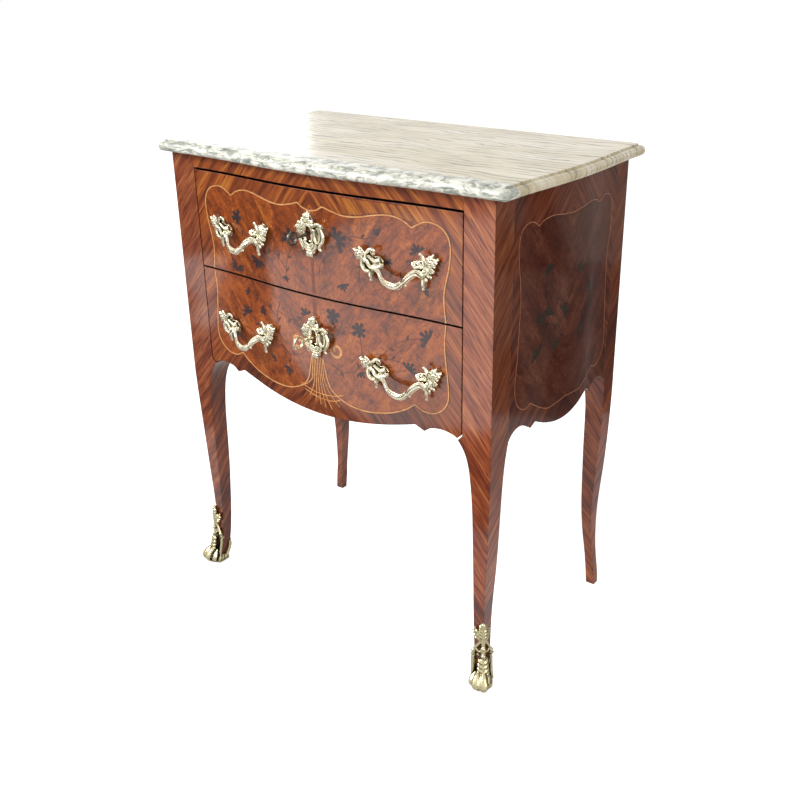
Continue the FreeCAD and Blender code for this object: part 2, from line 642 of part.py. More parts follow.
def lock_recess(top):
    """The pocket let into the back of a drawer front for the lock and its plate."""
    gap = GLUE_CLEARANCE
    half = LOCK_WIDTH / 2 + gap
    plate = LOCK_PLATE_WIDTH / 2 + gap
    z0 = top - LOCK_HEIGHT - gap
    pocket = box(-half, half, LOCK_FACE_Y - gap, FRONT_INNER_DEPTH + OVERRUN, z0, top + OVERRUN)
    return pocket.fuse(box(-plate, plate, LOCK_BACK_Y - gap, FRONT_INNER_DEPTH + OVERRUN, z0, top + OVERRUN))


def make_lock_case(top, key_z):
    half = LOCK_WIDTH / 2
    plate = LOCK_PLATE_WIDTH / 2
    wall = LOCK_WALL
    z0 = top - LOCK_HEIGHT
    case = box(-half, half, LOCK_FACE_Y, LOCK_BACK_Y, z0, top)
    case = case.cut(box(wall - half, half - wall, LOCK_FACE_Y - OVERRUN, LOCK_BACK_Y, z0 + wall, top - wall))
    case = case.fuse(box(-plate, plate, LOCK_BACK_Y, FRONT_INNER_DEPTH, z0, top)).removeSplitter()
    slot = BOLT_WIDTH / 2 + RUN_CLEARANCE
    slot_y0 = BOLT_Y - RUN_CLEARANCE
    slot_y1 = BOLT_Y + BOLT_THICKNESS + RUN_CLEARANCE
    return case.cut(box(-slot, slot, slot_y0, slot_y1, key_z, top + OVERRUN))


def make_lock_bolt(top):
    half = BOLT_WIDTH / 2
    return box(-half, half, BOLT_Y, BOLT_Y + BOLT_THICKNESS, top - BOLT_DROP, top - BOLT_SUNK)


def make_key(z):
    """Ring bow, round shaft and a flat bit that hangs in the lock below the shaft."""
    bow_y = -FRONT_BOW - KEY_BOW_STANDOFF
    end_y = BOLT_Y - KEY_CLEARANCE
    bow = Part.makeTorus(KEY_BOW_RADIUS, KEY_BOW_WIRE, vec(0, bow_y, z), ACROSS)
    shaft = cylinder(KEY_SHAFT_RADIUS, vec(0, bow_y + KEY_BOW_RADIUS, z), vec(0, end_y, z))
    half = KEY_BIT_THICKNESS / 2
    bit = box(-half, half, end_y - KEY_BIT_LENGTH, end_y, z - KEY_BIT_HEIGHT, z)
    return bow.fuse(shaft).fuse(bit).removeSplitter()


def lock_screws(top):
    """Four countersunk screws through the wings of the plate, heads inside the drawer."""
    x = (LOCK_WIDTH + LOCK_PLATE_WIDTH) / 4
    head_radius = LOCK_SCREW_RADIUS * 2
    inside = FRONT_INNER_DEPTH
    screws = []
    for side in (-x, x):
        for share in LOCK_SCREW_SHARES:
            z = top - LOCK_HEIGHT * share
            seat = vec(side, inside, z)
            shank = cylinder(LOCK_SCREW_RADIUS, seat - vec(0, LOCK_SCREW_LENGTH, 0), seat)
            head = cylinder(head_radius, seat, seat + vec(0, LOCK_SCREW_HEAD, 0))
            screws.append(shank.fuse(head).removeSplitter())
    return screws


def make_escutcheon(z):
    back = -FRONT_BOW - MOUNT_CLEARANCE
    middle = z
    points = [vec(across * ESCUTCHEON_WIDTH, back, middle + up * ESCUTCHEON_HEIGHT)
              for across, up in ESCUTCHEON_SHARES]
    plate = prism([closed_curve(points)], vec(0, -ESCUTCHEON_PLATE, 0))
    return plate.cut(keyhole(-FRONT_BOW - OVERRUN, 0, z))


def escutcheon_pins(z):
    face = -FRONT_BOW - MOUNT_CLEARANCE - ESCUTCHEON_PLATE
    pins = []
    for share in ESCUTCHEON_PIN_SHARES:
        up = z + share * ESCUTCHEON_HEIGHT
        shank = cylinder(ESCUTCHEON_PIN_RADIUS, vec(0, face, up), vec(0, face + ESCUTCHEON_PIN_LENGTH, up))
        head = cylinder(ESCUTCHEON_PIN_RADIUS * 2, vec(0, face - ESCUTCHEON_PIN_HEAD, up), vec(0, face, up))
        pins.append(shank.fuse(head).removeSplitter())
    return pins


def rosette(shares):
    points = [vec(across * HANDLE_WIDTH, 0, up * HANDLE_HEIGHT) for across, up in shares]
    return prism([closed_curve(points)], vec(0, -HANDLE_PLATE, 0))


def bail():
    """A round bar that leaves one rosette, dips outwards and down, and returns to the other."""
    lean = vec(0, -BAIL_STANDOFF, -BAIL_DROP)
    depth = lean.Length
    lean.normalize()
    half = HANDLE_POST_SPACING / 2
    radius = BAIL_BEND_RADIUS
    nick = radius * (1 - math.sqrt(0.5))
    root = vec(0, -HANDLE_PLATE / 2, 0)

    def at(across, down):
        return root + ACROSS * across + lean * down
    path = Part.Wire([
        line(at(-half, 0), at(-half, depth - radius)),
        arc(at(-half, depth - radius), at(nick - half, depth - nick), at(radius - half, depth)),
        line(at(radius - half, depth), at(half - radius, depth)),
        arc(at(half - radius, depth), at(half - nick, depth - nick), at(half, depth - radius)),
        line(at(half, depth - radius), at(half, 0)),
    ])
    section = Part.Wire([Part.Circle(at(-half, 0), lean, BAIL_RADIUS).toShape()])
    bar = path.makePipeShell([section], True, False)
    return bar.common(Part.makeBox(HANDLE_WIDTH, OVERRUN, HANDLE_WIDTH,
                                   vec(-HANDLE_WIDTH / 2, -OVERRUN, -HANDLE_WIDTH / 2)))


def make_handle(x, z):
    """Cast handle, flat behind, laid against the bowed front at x."""
    shape = rosette(LEFT_ROSETTE_SHARES).fuse(rosette(RIGHT_ROSETTE_SHARES)).fuse(bail()).removeSplitter()
    half = HANDLE_POST_SPACING / 2
    slope = math.atan2(front_y(x + half) - front_y(x - half), HANDLE_POST_SPACING)
    shape.rotate(ORIGIN, UP, math.degrees(slope))
    seat = (front_y(x + half) + front_y(x - half)) / 2
    shape.translate(vec(x, seat, z))
    return shape


def clear_of(handle, front):
    """Bring a handle forward until its back clears the bowed front."""
    placed = handle.copy()
    while placed.common(front).Volume > 0 or placed.distToShape(front)[0] < MOUNT_CLEARANCE / 2:
        placed.translate(vec(0, -MOUNT_CLEARANCE / 2, 0))
    return placed


def handle_bolts(x, z):
    """Two threaded bolts with hexagon nuts, one behind each rosette."""
    fixings = []
    for across in (x - HANDLE_POST_SPACING / 2, x + HANDLE_POST_SPACING / 2):
        inside = FRONT_INNER_DEPTH
        bolt = cylinder(HANDLE_BOLT_RADIUS, vec(across, front_y(across) + MOUNT_CLEARANCE, z),
                        vec(across, inside + HANDLE_BOLT_TAIL, z))
        corners = [vec(across + NUT_RADIUS * math.cos(math.tau * k / NUT_SIDES), inside,
                       z + NUT_RADIUS * math.sin(math.tau * k / NUT_SIDES)) for k in range(NUT_SIDES + 1)]
        nut = Part.Face(Part.makePolygon(corners)).extrude(vec(0, NUT_THICKNESS, 0))
        fixings += [bolt, nut.cut(bolt)]
    return fixings


def tail_places(z0, z1):
    """Heights of the dovetails down a drawer side, each with its half width at the root."""
    pitch = (z1 - z0) / TAIL_COUNT
    half = pitch * TAIL_WIDTH_SHARE / 2
    return [(z0 + pitch * (k + 0.5), half * (1 - TAIL_FLARE_SHARE), half) for k in range(TAIL_COUNT)]


def side_tails(z0, z1):
    """Dovetails on the front end of the right drawer side, which also cut their sockets."""
    tails = []
    for z, root, tip in tail_places(z0, z1):
        y0 = FRONT_INNER_DEPTH - TAIL_LENGTH
        y1 = FRONT_INNER_DEPTH
        x = DRAWER_INNER_X
        corners = [vec(x, y1, z - root), vec(x, y0, z - tip), vec(x, y0, z + tip), vec(x, y1, z + root),
                   vec(x, y1, z - root)]
        tails.append(Part.Face(Part.makePolygon(corners)).extrude(vec(DRAWER_SIDE_THICKNESS, 0, 0)))
    return tails


def apron_front():
    """Elevation of the lower drawer front, with its shaped lower edge."""
    drops = (APRON_CENTRE_DROP, APRON_SHOULDER_DROP, APRON_CUSP_DROP)
    y = -OVERRUN
    edges = []
    for sense in (1, -1):
        def place(along, z):
            return vec(sense * along, y, z)
        half, end = apron_edges(place, HALF_DRAWER, APRON_SHARES, drops, APRON_CORNER_SHARE,
                                APRON_CORNER_DROP)
        clip = place(HALF_DRAWER, end.z + HALF_DRAWER * (1 - APRON_CORNER_SHARE))
        edges += half + [line(end, clip), line(clip, place(HALF_DRAWER, BOTTOM_FRONT_TOP_Z))]
    edges.append(line(vec(-HALF_DRAWER, y, BOTTOM_FRONT_TOP_Z), vec(HALF_DRAWER, y, BOTTOM_FRONT_TOP_Z)))
    outline = Part.Face(Part.Wire(Part.__sortEdges__(edges)))
    return outline.extrude(vec(0, OVERRUN + FRONT_INNER_DEPTH, 0))


def top_front_blank():
    """The upper front hangs in front of the middle rail by a lip along its lower edge."""
    blank = bowed_slab(HALF_DRAWER, FRONT_INNER_DEPTH, TOP_FRONT_BOTTOM_Z, TOP_FRONT_TOP_Z)
    rebate_top = UPPER_RUNNER_Z + RAIL_THICKNESS + LIP_CLEARANCE
    rebate = box(-HALF_OPENING, HALF_OPENING, LIP_DEPTH, FRONT_INNER_DEPTH + OVERRUN,
                 TOP_FRONT_BOTTOM_Z - OVERRUN, rebate_top)
    return blank.cut(rebate)


def bottom_front_blank():
    lowest = LEG_HEIGHT - APRON_CENTRE_DROP
    slab = bowed_slab(HALF_DRAWER, FRONT_INNER_DEPTH, lowest, BOTTOM_FRONT_TOP_Z)
    return slab.common(apron_front())


def write_drawer(name, blank, top, floor):
    """One drawer: bowed front, dovetailed sides, back and bottom, and the metal on it."""
    gap = GLUE_CLEARANCE
    side_top = top - DRAWER_SIDE_DROP
    key_z = top - KEYHOLE_DROP
    handle_z = top - HANDLE_DROP
    side = box(DRAWER_INNER_X, DRAWER_SIDE_X, FRONT_INNER_DEPTH, DRAWER_END_Y, floor, side_top)
    tails = side_tails(floor + DRAWER_BOTTOM_RISE * 2, side_top)
    for tail in tails:
        side = side.fuse(tail)
    side = side.removeSplitter()
    panel_z = floor + DRAWER_BOTTOM_RISE
    panel_top = panel_z + DRAWER_BOTTOM_THICKNESS
    panel_x = DRAWER_INNER_X + GROOVE_DEPTH
    panel_y = FRONT_INNER_DEPTH - GROOVE_DEPTH
    panel = box(-panel_x, panel_x, panel_y, DRAWER_END_Y, panel_z, panel_top)
    groove = box(-panel_x - gap, panel_x + gap, panel_y - gap, DRAWER_END_Y + OVERRUN,
                 panel_z - gap, panel_top + gap)
    back_y = DRAWER_END_Y - DRAWER_BACK_THICKNESS
    back = box(-DRAWER_INNER_X, DRAWER_INNER_X, back_y, DRAWER_END_Y, panel_top + gap, side_top)

    handles = [clear_of(make_handle(x, handle_z), blank) for x in (-HANDLE_CENTRE, HANDLE_CENTRE)]
    bolts = handle_bolts(-HANDLE_CENTRE, handle_z) + handle_bolts(HANDLE_CENTRE, handle_z)
    pins = escutcheon_pins(key_z)
    escutcheon = make_escutcheon(key_z)
    screws = lock_screws(top)
    lock = make_lock_case(top, key_z)

    front = blank.cut(lock_recess(top)).cut(groove)
    front = front.cut(keyhole(-OVERRUN, FRONT_INNER_DEPTH, key_z))
    for tail in tails:
        front = front.cut(tail).cut(mirrored(tail))
    for metal in pins + bolts + screws:
        front = front.cut(metal)
    for pin in pins:
        escutcheon = escutcheon.cut(pin)
    for screw in screws:
        lock = lock.cut(screw)
    side = side.cut(groove)

    write(name + "_drawer_front", front)
    write(name + "_drawer_right_side", side)
    write(name + "_drawer_left_side", mirrored(side))
    write(name + "_drawer_back", back)
    write(name + "_drawer_bottom", panel)
    write(name + "_left_handle", handles[0])
    write(name + "_right_handle", handles[1])
    write(name + "_handle_bolts", *bolts)
    write(name + "_escutcheon", escutcheon)
    write(name + "_escutcheon_pins", *pins)
    write(name + "_lock_case", lock)
    write(name + "_lock_screws", *screws)
    write(name + "_lock_bolt", make_lock_bolt(top))
    write(name + "_key", make_key(key_z))


def main():
    os.makedirs("parts", exist_ok=True)
    write_carcase()
    upper_floor = UPPER_RUNNER_Z + RAIL_THICKNESS + RUN_CLEARANCE
    lower_floor = LOWER_RUNNER_Z + RAIL_THICKNESS + RUN_CLEARANCE
    write_drawer("top", top_front_blank(), TOP_FRONT_TOP_Z, upper_floor)
    write_drawer("bottom", bottom_front_blank(), BOTTOM_FRONT_TOP_Z, lower_floor)


main()
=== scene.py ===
"""The looks of a two-drawer commode: veneers, marquetry, marble and gilt mounts on its fixed frame.

Lengths are millimetres in the frame's own axes, and become metres when a mesh is made. Flat work, such as
an inlay or a casting, is drawn as (across, up, out) and then bent or set onto what carries it.
"""
import math

import bmesh
import bpy
from mathutils import Matrix, Vector
from mathutils.bvhtree import BVHTree


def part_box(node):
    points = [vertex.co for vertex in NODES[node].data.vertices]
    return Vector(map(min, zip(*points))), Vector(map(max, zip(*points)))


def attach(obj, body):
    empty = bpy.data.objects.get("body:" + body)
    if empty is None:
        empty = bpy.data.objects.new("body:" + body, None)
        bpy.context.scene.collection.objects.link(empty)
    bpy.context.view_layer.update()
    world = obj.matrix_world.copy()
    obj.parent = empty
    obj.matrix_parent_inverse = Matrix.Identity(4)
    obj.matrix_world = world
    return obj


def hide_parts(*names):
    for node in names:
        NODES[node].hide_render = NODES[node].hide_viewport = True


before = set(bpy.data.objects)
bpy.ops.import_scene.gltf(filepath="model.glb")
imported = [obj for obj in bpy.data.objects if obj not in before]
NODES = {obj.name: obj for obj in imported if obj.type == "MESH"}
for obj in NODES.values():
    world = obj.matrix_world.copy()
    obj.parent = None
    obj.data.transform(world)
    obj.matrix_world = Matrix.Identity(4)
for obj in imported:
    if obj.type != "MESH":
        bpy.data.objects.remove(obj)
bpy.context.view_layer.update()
MM = 0.001


def corner(node, end):
    """Lowest (0) or highest (1) corner of a node's box, in millimetres."""
    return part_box(node)[end] / MM


# Places taken from the frame
HALF_WIDTH = corner("front_right_leg", 1).x
FRONT_BOW = 14.5
ARRIS_Y = corner("top_drawer_front", 0).y + FRONT_BOW
HALF_OPENING = corner("top_front_rail", 1).x
SIDE_FRONT_Y = corner("right_side_panel", 0).y
SIDE_BACK_Y = corner("right_side_panel", 1).y
SIDE_BOW = corner("right_side_panel", 1).x - HALF_WIDTH
SIDE_MIDDLE_Y = (SIDE_FRONT_Y + SIDE_BACK_Y) / 2
HALF_SIDE = (SIDE_BACK_Y - SIDE_FRONT_Y) / 2
TOP_DRAWER_FOOT = corner("top_drawer_front", 0).z
BOTTOM_DRAWER_HEAD = corner("bottom_drawer_front", 1).z

# Inlay
FIELD_LIFT = 0.4
STRING_LIFT = 0.6
FLOWER_LIFT = 0.55
SHEET_THICKNESS = 0.3
BEND_STEP = 8.0
CUT_TOLERANCE = 0.001
CRISP_ANGLE = 0.6
STRING_WIDTH = 2.0
SIDE_STRING_WIDTH = 1.1
STEM_WIDTH = 1.1
LINE_MARGIN = 1.0
UNDER_STRING_LIFT = 0.45
PETAL_LIFT = 0.6
CURVE_STEPS = 8

# Half of the string round the front, right of the centre, as runs that meet in cusps: (x, z)
TOP_STRING_RUNS = (
    ((0, 728), (13, 730.5), (25, 737)),
    ((25, 737), (42, 732.5), (65, 728.5), (92, 730.5), (118, 736), (143, 739), (165, 735), (181, 726)),
    ((181, 726), (188, 730), (202, 736.5), (215, 737), (230, 732.5), (241, 721.5), (245, 708), (245, 693),
     (242, 673), (238, 657), (235, 640), (235, 623), (238, TOP_DRAWER_FOOT)),
)
BOTTOM_STRING_RUNS = (
    ((238, BOTTOM_DRAWER_HEAD), (236, 573), (236, 557), (238, 537), (241, 513), (243, 490), (240, 473),
     (230, 460), (215, 452), (198, 452), (183, 459)),
    ((183, 459), (168, 448), (145, 437), (118, 430), (92, 427), (65, 429), (42, 437), (28, 447), (20, 460),
     (15, 480), (12, 496)),
)
# Strings that fall from the lower escutcheon like a tied sheaf: (top x, waist x, foot x, foot z)
SHEAF = ((-10.5, -12, -33, 441), (-7, -8, -20, 427), (-3.5, -4, -8, 420), (0, 0, 3, 416),
         (3.5, 4.5, 14, 414), (7, 8.5, 26, 413), (10.5, 12.5, 42, 421))
SHEAF_WIDTH = 1.4
SHEAF_HEAD = 496.0
SHEAF_WAIST = 462.0
SHEAF_SLACK = 0.12
SHEAF_TIES = (((-38, 444), (-20, 438), (4, 435), (30, 437), (50, 443)),
              ((-30, 435), (-14, 430), (6, 427), (28, 428), (44, 433)))
SCROLL_CENTRES = ((-41, 516), (41, 516))
SCROLL_RADIUS = 13.0
SCROLL_TURNS = 1.1
SCROLL_WIDTH = 4.2
SCROLL_STEPS = 30
SCROLL_CLOSING = 0.72
# Strips of veneer that differ from the ground they lie in: (x, z)
CENTRE_JOINTS = {"top": ((-3, 600), (3, 600), (2.5, 652), (-2.5, 652)),
                 "bottom": ((-3.5, 592), (3.5, 592), (3, 562), (-3, 562))}
TOP_WEDGES = (((-176, 722), (-150, 728), (-126, 731), (-84, 694), (-100, 690), (-140, 690)),
              ((50, 755), (64, 731), (92, 733), (118, 738.5), (143, 741), (165, 737), (192, 733),
               (170, 755)))
# Half of the string on a side, from the middle line: (distance from the middle, z)
SIDE_STRING_RUNS = (
    ((0, 729), (28, 731.5), (54, 734.5), (75, 732), (87, 726)),
    ((87, 726), (98, 733), (112, 734.5), (126, 727), (133, 709), (133, 692), (130, 668), (126, 640),
     (126, 610), (128, 575), (130, 537), (134, 500), (130, 474), (118, 460), (104, 455), (92, 460)),
    ((92, 460), (80, 452), (64, 443), (46, 437), (26, 438), (0, 441)),
)

# Marquetry flowers, (x, z, width, turn in degrees, lobes, spread in degrees), and the points of their stems,
# (x, z). On a side x runs from its middle to a viewer's right.
TOP_FLOWERS = ((-170, 694, 27, 60, 5, 360), (-186, 611, 22, 200, 4, 150), (-170, 608, 20, 300, 4, 150),
               (-127, 625, 27, 250, 5, 200), (-59, 613, 16, 270, 4, 150), (-47, 686, 30, 95, 5, 230),
               (57, 697, 32, 40, 6, 250), (187, 698, 22, 120, 5, 200), (122, 712, 20, 120, 4, 120),
               (142, 671, 15, 60, 5, 360), (205, 640, 18, 20, 4, 150), (60, 620, 20, 290, 5, 180),
               (112, 655, 14, 250, 4, 150))
BOTTOM_FLOWERS = ((36, 571, 30, 50, 6, 360), (86, 558, 29, 10, 7, 360), (201, 570, 28, 150, 5, 190),
                  (177, 517, 25, 60, 5, 170), (-165, 540, 24, 120, 5, 220), (-157, 573, 17, 150, 4, 160),
                  (-22, 568, 20, 110, 4, 200), (-66, 458, 22, 250, 4, 160), (-120, 548, 18, 80, 5, 360),
                  (-196, 492, 20, 190, 5, 170), (88, 486, 18, 300, 4, 160), (-100, 470, 16, 230, 4, 160))
SIDE_FLOWERS = ((-80, 588, 20, 200, 5, 200), (-57, 596, 24, 90, 5, 230), (-11, 588, 24, 40, 5, 220),
                (-84, 536, 26, 130, 5, 170), (-35, 536, 20, 300, 4, 170), (30, 640, 22, 60, 5, 360),
                (70, 600, 20, 20, 5, 200), (40, 540, 22, 330, 5, 180), (-60, 660, 22, 120, 5, 200))
SIDE_STEMS = (((-84, 530), (-70, 552), (-57, 575), (-57, 590)), ((-57, 575), (-30, 566), (-11, 582)),
              ((-35, 540), (-20, 552), (-30, 566)), ((-11, 592), (8, 618), (28, 632)),
              ((-57, 600), (-66, 628), (-60, 654)), ((40, 544), (48, 570), (66, 594)),
              ((8, 618), (40, 600), (66, 598)))
TOP_STEMS = (((-58, 630), (-48, 657), (-30, 668), (-8, 660)),
             ((-58, 630), (-80, 650), (-95, 653), (-118, 640)),
             ((-57, 616), (-58, 630)), ((-170, 690), (-150, 668), (-120, 656), (-95, 653)),
             ((58, 692), (40, 672), (20, 655), (12, 632)), ((58, 692), (78, 700), (100, 700), (122, 706)),
             ((187, 690), (176, 672), (158, 655), (150, 640), (158, 622)),
             ((142, 668), (150, 655), (158, 655)), ((-127, 620), (-110, 630), (-95, 653)),
             ((100, 700), (112, 686), (108, 668), (92, 655), (88, 632)))
BOTTOM_STEMS = (((-28, 497), (-58, 487), (-78, 503), (-85, 543), (-78, 573)),
                ((-85, 543), (-110, 560), (-150, 572)),
                ((-78, 503), (-110, 512), (-140, 525), (-162, 536)),
                ((28, 490), (58, 483), (88, 503), (88, 552)),
                ((88, 503), (120, 520), (150, 522), (174, 518)),
                ((120, 520), (150, 548), (176, 560), (198, 566)),
                ((37, 566), (42, 552), (56, 545), (72, 552), (84, 556)),
                ((-22, 562), (-36, 550), (-60, 548), (-82, 556)),
                ((-60, 464), (-66, 476), (-78, 503)))
# Small leaves along the stems, and half of a leaf's outline as shares of its length and width
LEAF_LENGTH = 11.0
LEAF_WIDTH = 4.2
LEAF_LEAN = 0.8
LEAF_FIRST = 5
LEAF_PITCH = 9
BARE_TIP = 3
LEAF_SHARES = ((0.0, 0.0), (0.25, 0.42), (0.55, 0.5), (0.82, 0.26), (1.0, 0.0))
# A fanned flower's reach and foot as shares of its width, how much shorter every other lobe is, and one
# lobe as shares of its turn and of its reach
FAN_REACH = 0.66
FAN_FOOT = 0.3
LOBE_STEP = 0.14
LOBE_SHARES = ((0.02, 0.42), (0.2, 0.84), (0.38, 1.0), (0.5, 0.86), (0.62, 0.98), (0.8, 0.82))

# Castings
CAST_VOXEL = 0.6
CAST_CLEARANCE = 0.3
PLATE_THICKNESS = 3.6
PLATE_STEPS = 3
STROKE_STEPS = 4
THINNEST_STROKE = 0.2
VOLUTE_STEPS = 18
VOLUTE_TAPER = 0.25
# An acanthus leaf, as shares of its breadth or length. A pair is a value at the base and how much it loses
# by the tip, except the span, which is where the lobes begin and how far they go. A lobe's point is
# (aside, ahead, out).
RIB_STEPS = 6
RIB_TAPER = (0.3, 0.1)
LOBE_SPAN = (0.12, 0.66)
LOBE_REACH = (0.58, 0.2)
LOBE_BULGE = (0.6, 0.3, 0.06)
LOBE_END = (0.9, 0.75, -0.1)
LOBE_ROOT_RADIUS = 0.25
LOBE_END_RADIUS = 0.17
# How strokes are fluted: (flutes, depth, flatness)
LEAF_FLUTING = (4, 0.75, 0.8)
SCROLL_FLUTING = (6, 0.8, 0.95)
BAIL_FLUTING = (6, 0.72, 1.0)
SABOT_FLUTING = (6, 0.82, 0.95)

# Camera of the photograph
CAMERA_PLACE = (1.0316, -1.2549, 1.0798)
CAMERA_TURN = 38.746
CAMERA_DIP = 23.9
CAMERA_ROLL = -1.0816
CAMERA_LENS = 45.92
SENSOR_WIDTH = 36.0
CAMERA_SIGHT = 50.0
# The white paper floor: its size in metres, and how it glows for the lens and for gloss
FLOOR_SIZE = 40.0
FLOOR_COLOUR = "#D6D6D6"
FLOOR_GLOW = 0.8
FLOOR_GLOSS = 0.08
# Lamps, in metres and watts: (name, place, target, size, power)
LAMPS = (
    ("window", (-3.6, -3.8, 4.3), (0, 0, 0.5), 2.1, 385.0),
    ("fill", (2.6, -1.0, 1.6), (0, 0, 0.4), 2.0, 32.0),
    ("sky", (0.2, 0.8, 3.0), (0, 0, 0.6), 2.5, 4.0),
    ("back window", (-3.28, 2.284, 1.55), (0, 0, 0.8), 1.4, 15.0),
)
# What the polish mirrors round the white paper, in metres: (name, finish, corners)
ROOM_SCREENS = (
    ("right_screen", "dim", ((0.53, 0.905, 0), (1.62, 0.28, 0), (1.62, 0.28, 0.8), (0.53, 0.905, 0.8))),
    ("right_low_pane", "pale",
     ((0.743, 0.771, 0.38), (0.776, 0.752, 0.25), (0.863, 0.702, 0.17), (0.917, 0.671, 0.08),
      (0.917, 0.671, 0), (1.179, 0.521, 0), (1.179, 0.521, 0.38))),
    ("right_high_pane", "pale",
     ((0.525, 0.896, 0.41), (0.71, 0.79, 0.4), (0.743, 0.771, 0.44), (0.83, 0.721, 0.48),
      (0.896, 0.684, 0.51), (0.852, 0.709, 0.66), (0.525, 0.896, 0.66))),
    ("right_wall", "dim", ((1.62, 0.28, 0), (2.6, -1.4, 0), (2.6, -1.4, 0.8), (1.62, 0.28, 0.8))),
    ("left_wall", "dim", ((-1.3, 1.2, 0), (-2.6, -0.5, 0), (-2.6, -0.5, 0.8), (-1.3, 1.2, 0.8))),
    ("carpet", "dim", ((-4.5, -4.5, 0.005), (0.6, -4.5, 0.005), (0.6, -0.5, 0.005), (-4.5, -0.5, 0.005))),
    ("sunlit_patch", "sunlit",
     ((-2.03, -1.46, 0.01), (-1.54, -1.2, 0.01), (-1.4, -1.05, 0.01), (-0.85, -0.92, 0.01),
      (-0.2, -0.9, 0.01), (0.0, -2.0, 0.01), (-0.6, -2.9, 0.01), (-1.35, -2.85, 0.01),
      (-1.6, -2.4, 0.01), (-1.62, -1.93, 0.01))),
)


def linear(code):
    """An sRGB hex colour as linear RGBA."""
    parts = [int(code[k:k + 2], 16) / 255 for k in (1, 3, 5)]
    return [c / 12.92 if c <= 0.04045 else ((c + 0.055) / 1.055) ** 2.4 for c in parts] + [1.0]


def feed(tree, node, inputs):
    """Sets a node's sockets, each to a value or to another node's output."""
    for key, value in inputs.items():
        if isinstance(value, bpy.types.NodeSocket):
            tree.links.new(value, node.inputs[key])
        else:
            node.inputs[key].default_value = value


def add(tree, kind, inputs=None, stops=None, **settings):
    """Adds one node: its properties as settings, its sockets as inputs (a value or an output), and for a
    ramp its stops."""
    node = tree.nodes.new(kind)
    for key, value in settings.items():
        setattr(node, key, value)
    feed(tree, node, inputs or {})
    if stops:
        elements = node.color_ramp.elements
        while len(elements) < len(stops):
            elements.new(1.0)
        for element, (place, colour) in zip(elements, stops):
            element.position = place
            element.color = linear(colour) if isinstance(colour, str) else (colour, colour, colour, 1.0)
    return node


def cleared_tree(owner):
    """The emptied node tree of a material or a world."""
    owner.use_nodes = True
    owner.node_tree.nodes.clear()
    return owner.node_tree


def new_material(name):
    """An empty material with its tree, its shader and the object coordinates."""
    material = bpy.data.materials.new(name)
    tree = cleared_tree(material)
    shader = add(tree, "ShaderNodeBsdfPrincipled")
    add(tree, "ShaderNodeOutputMaterial", {"Surface": shader.outputs[0]})
    place = add(tree, "ShaderNodeTexCoord").outputs["Object"]
    return material, tree, shader, place


def new_object(name, data):
    """A new object in the scene."""
    thing = bpy.data.objects.new(name, data)
    bpy.context.scene.collection.objects.link(thing)
    return thing


def turn_to_x(direction):
    """Euler angles that bring a direction onto the X axis."""
    return Vector(direction).to_track_quat("X", "Z").inverted().to_euler()


def folded_place(tree, place, axis, middle):
    """Object coordinates mirrored about a plane, as matched veneers are."""
    split = add(tree, "ShaderNodeSeparateXYZ", {0: place})
    off = add(tree, "ShaderNodeMath", {0: split.outputs[axis], 1: middle}, operation="SUBTRACT").outputs[0]
    parts = {key: split.outputs[key] for key in "XYZ"}
    parts[axis] = add(tree, "ShaderNodeMath", {0: off}, operation="ABSOLUTE").outputs[0]
    return add(tree, "ShaderNodeCombineXYZ", parts).outputs[0]


# Finishes


def soft_arris(tree, height):
    """A shading normal with fine relief, rounded at the edges of a piece as by long rubbing."""
    rounded = add(tree, "ShaderNodeBevel", {"Radius": 2.2 * MM}, samples=6).outputs[0]
    return add(tree, "ShaderNodeBump", {"Height": height, "Normal": rounded, "Strength": 0.05,
                                        "Distance": 0.0002}).outputs[0]


def shellac(tree, shader, colour, height):
    """French polish: a deep clear gloss over the wood."""
    feed(tree, shader, {"Base Color": colour, "Normal": soft_arris(tree, height), "Roughness": 0.35,
                        "Specular IOR Level": 0.2, "Coat Weight": 1.0, "Coat Roughness": 0.09})


def facing(tree, axis):
    """How squarely a face looks along an axis, one way or the other."""
    face = add(tree, "ShaderNodeNewGeometry").outputs["True Normal"]
    part = add(tree, "ShaderNodeSeparateXYZ", {0: face}).outputs[axis]
    return add(tree, "ShaderNodeMath", {0: part}, operation="ABSOLUTE").outputs[0]


def painted_gap_shade(tree, colour):
    """Painted shade on the faces of a panel that look up or down: a dark brown there, so that the gaps
    between the drawers and the rail read dark.
    """
    edge = add(tree, "ShaderNodeMapRange",
               {"Value": facing(tree, "Z"), "From Min": 0.5, "From Max": 0.7}).outputs[0]
    # Painted shade: a near-black brown mixed in on the faces that look up or down
    return add(tree, "ShaderNodeMix", {"Factor": edge, 6: colour, 7: linear("#2A140B")},
               data_type="RGBA").outputs[2]


def painted_flank_shade(tree, place, colour):
    """Painted shade on the flanks of a post: the faces that look sideways are darker beside the drawers than
    down the leg.
    """
    height = add(tree, "ShaderNodeSeparateXYZ", {0: place}).outputs["Z"]
    flank = add(tree, "ShaderNodeMapRange",
                {"Value": facing(tree, "X"), "From Min": 0.7, "From Max": 0.9}).outputs[0]
    tall = add(tree, "ShaderNodeMapRange",
               {"Value": height, "From Min": 0.3, "From Max": 0.5, "To Max": 0.5}).outputs[0]
    # Painted shade: up to half way to a near-black brown on the sideways faces above the leg
    shade_factor = add(tree, "ShaderNodeMath", {0: flank, 1: tall}, operation="MULTIPLY").outputs[0]
    return add(tree, "ShaderNodeMix", {"Factor": shade_factor, 6: colour, 7: linear("#2A0F08")},
               data_type="RGBA").outputs[2]


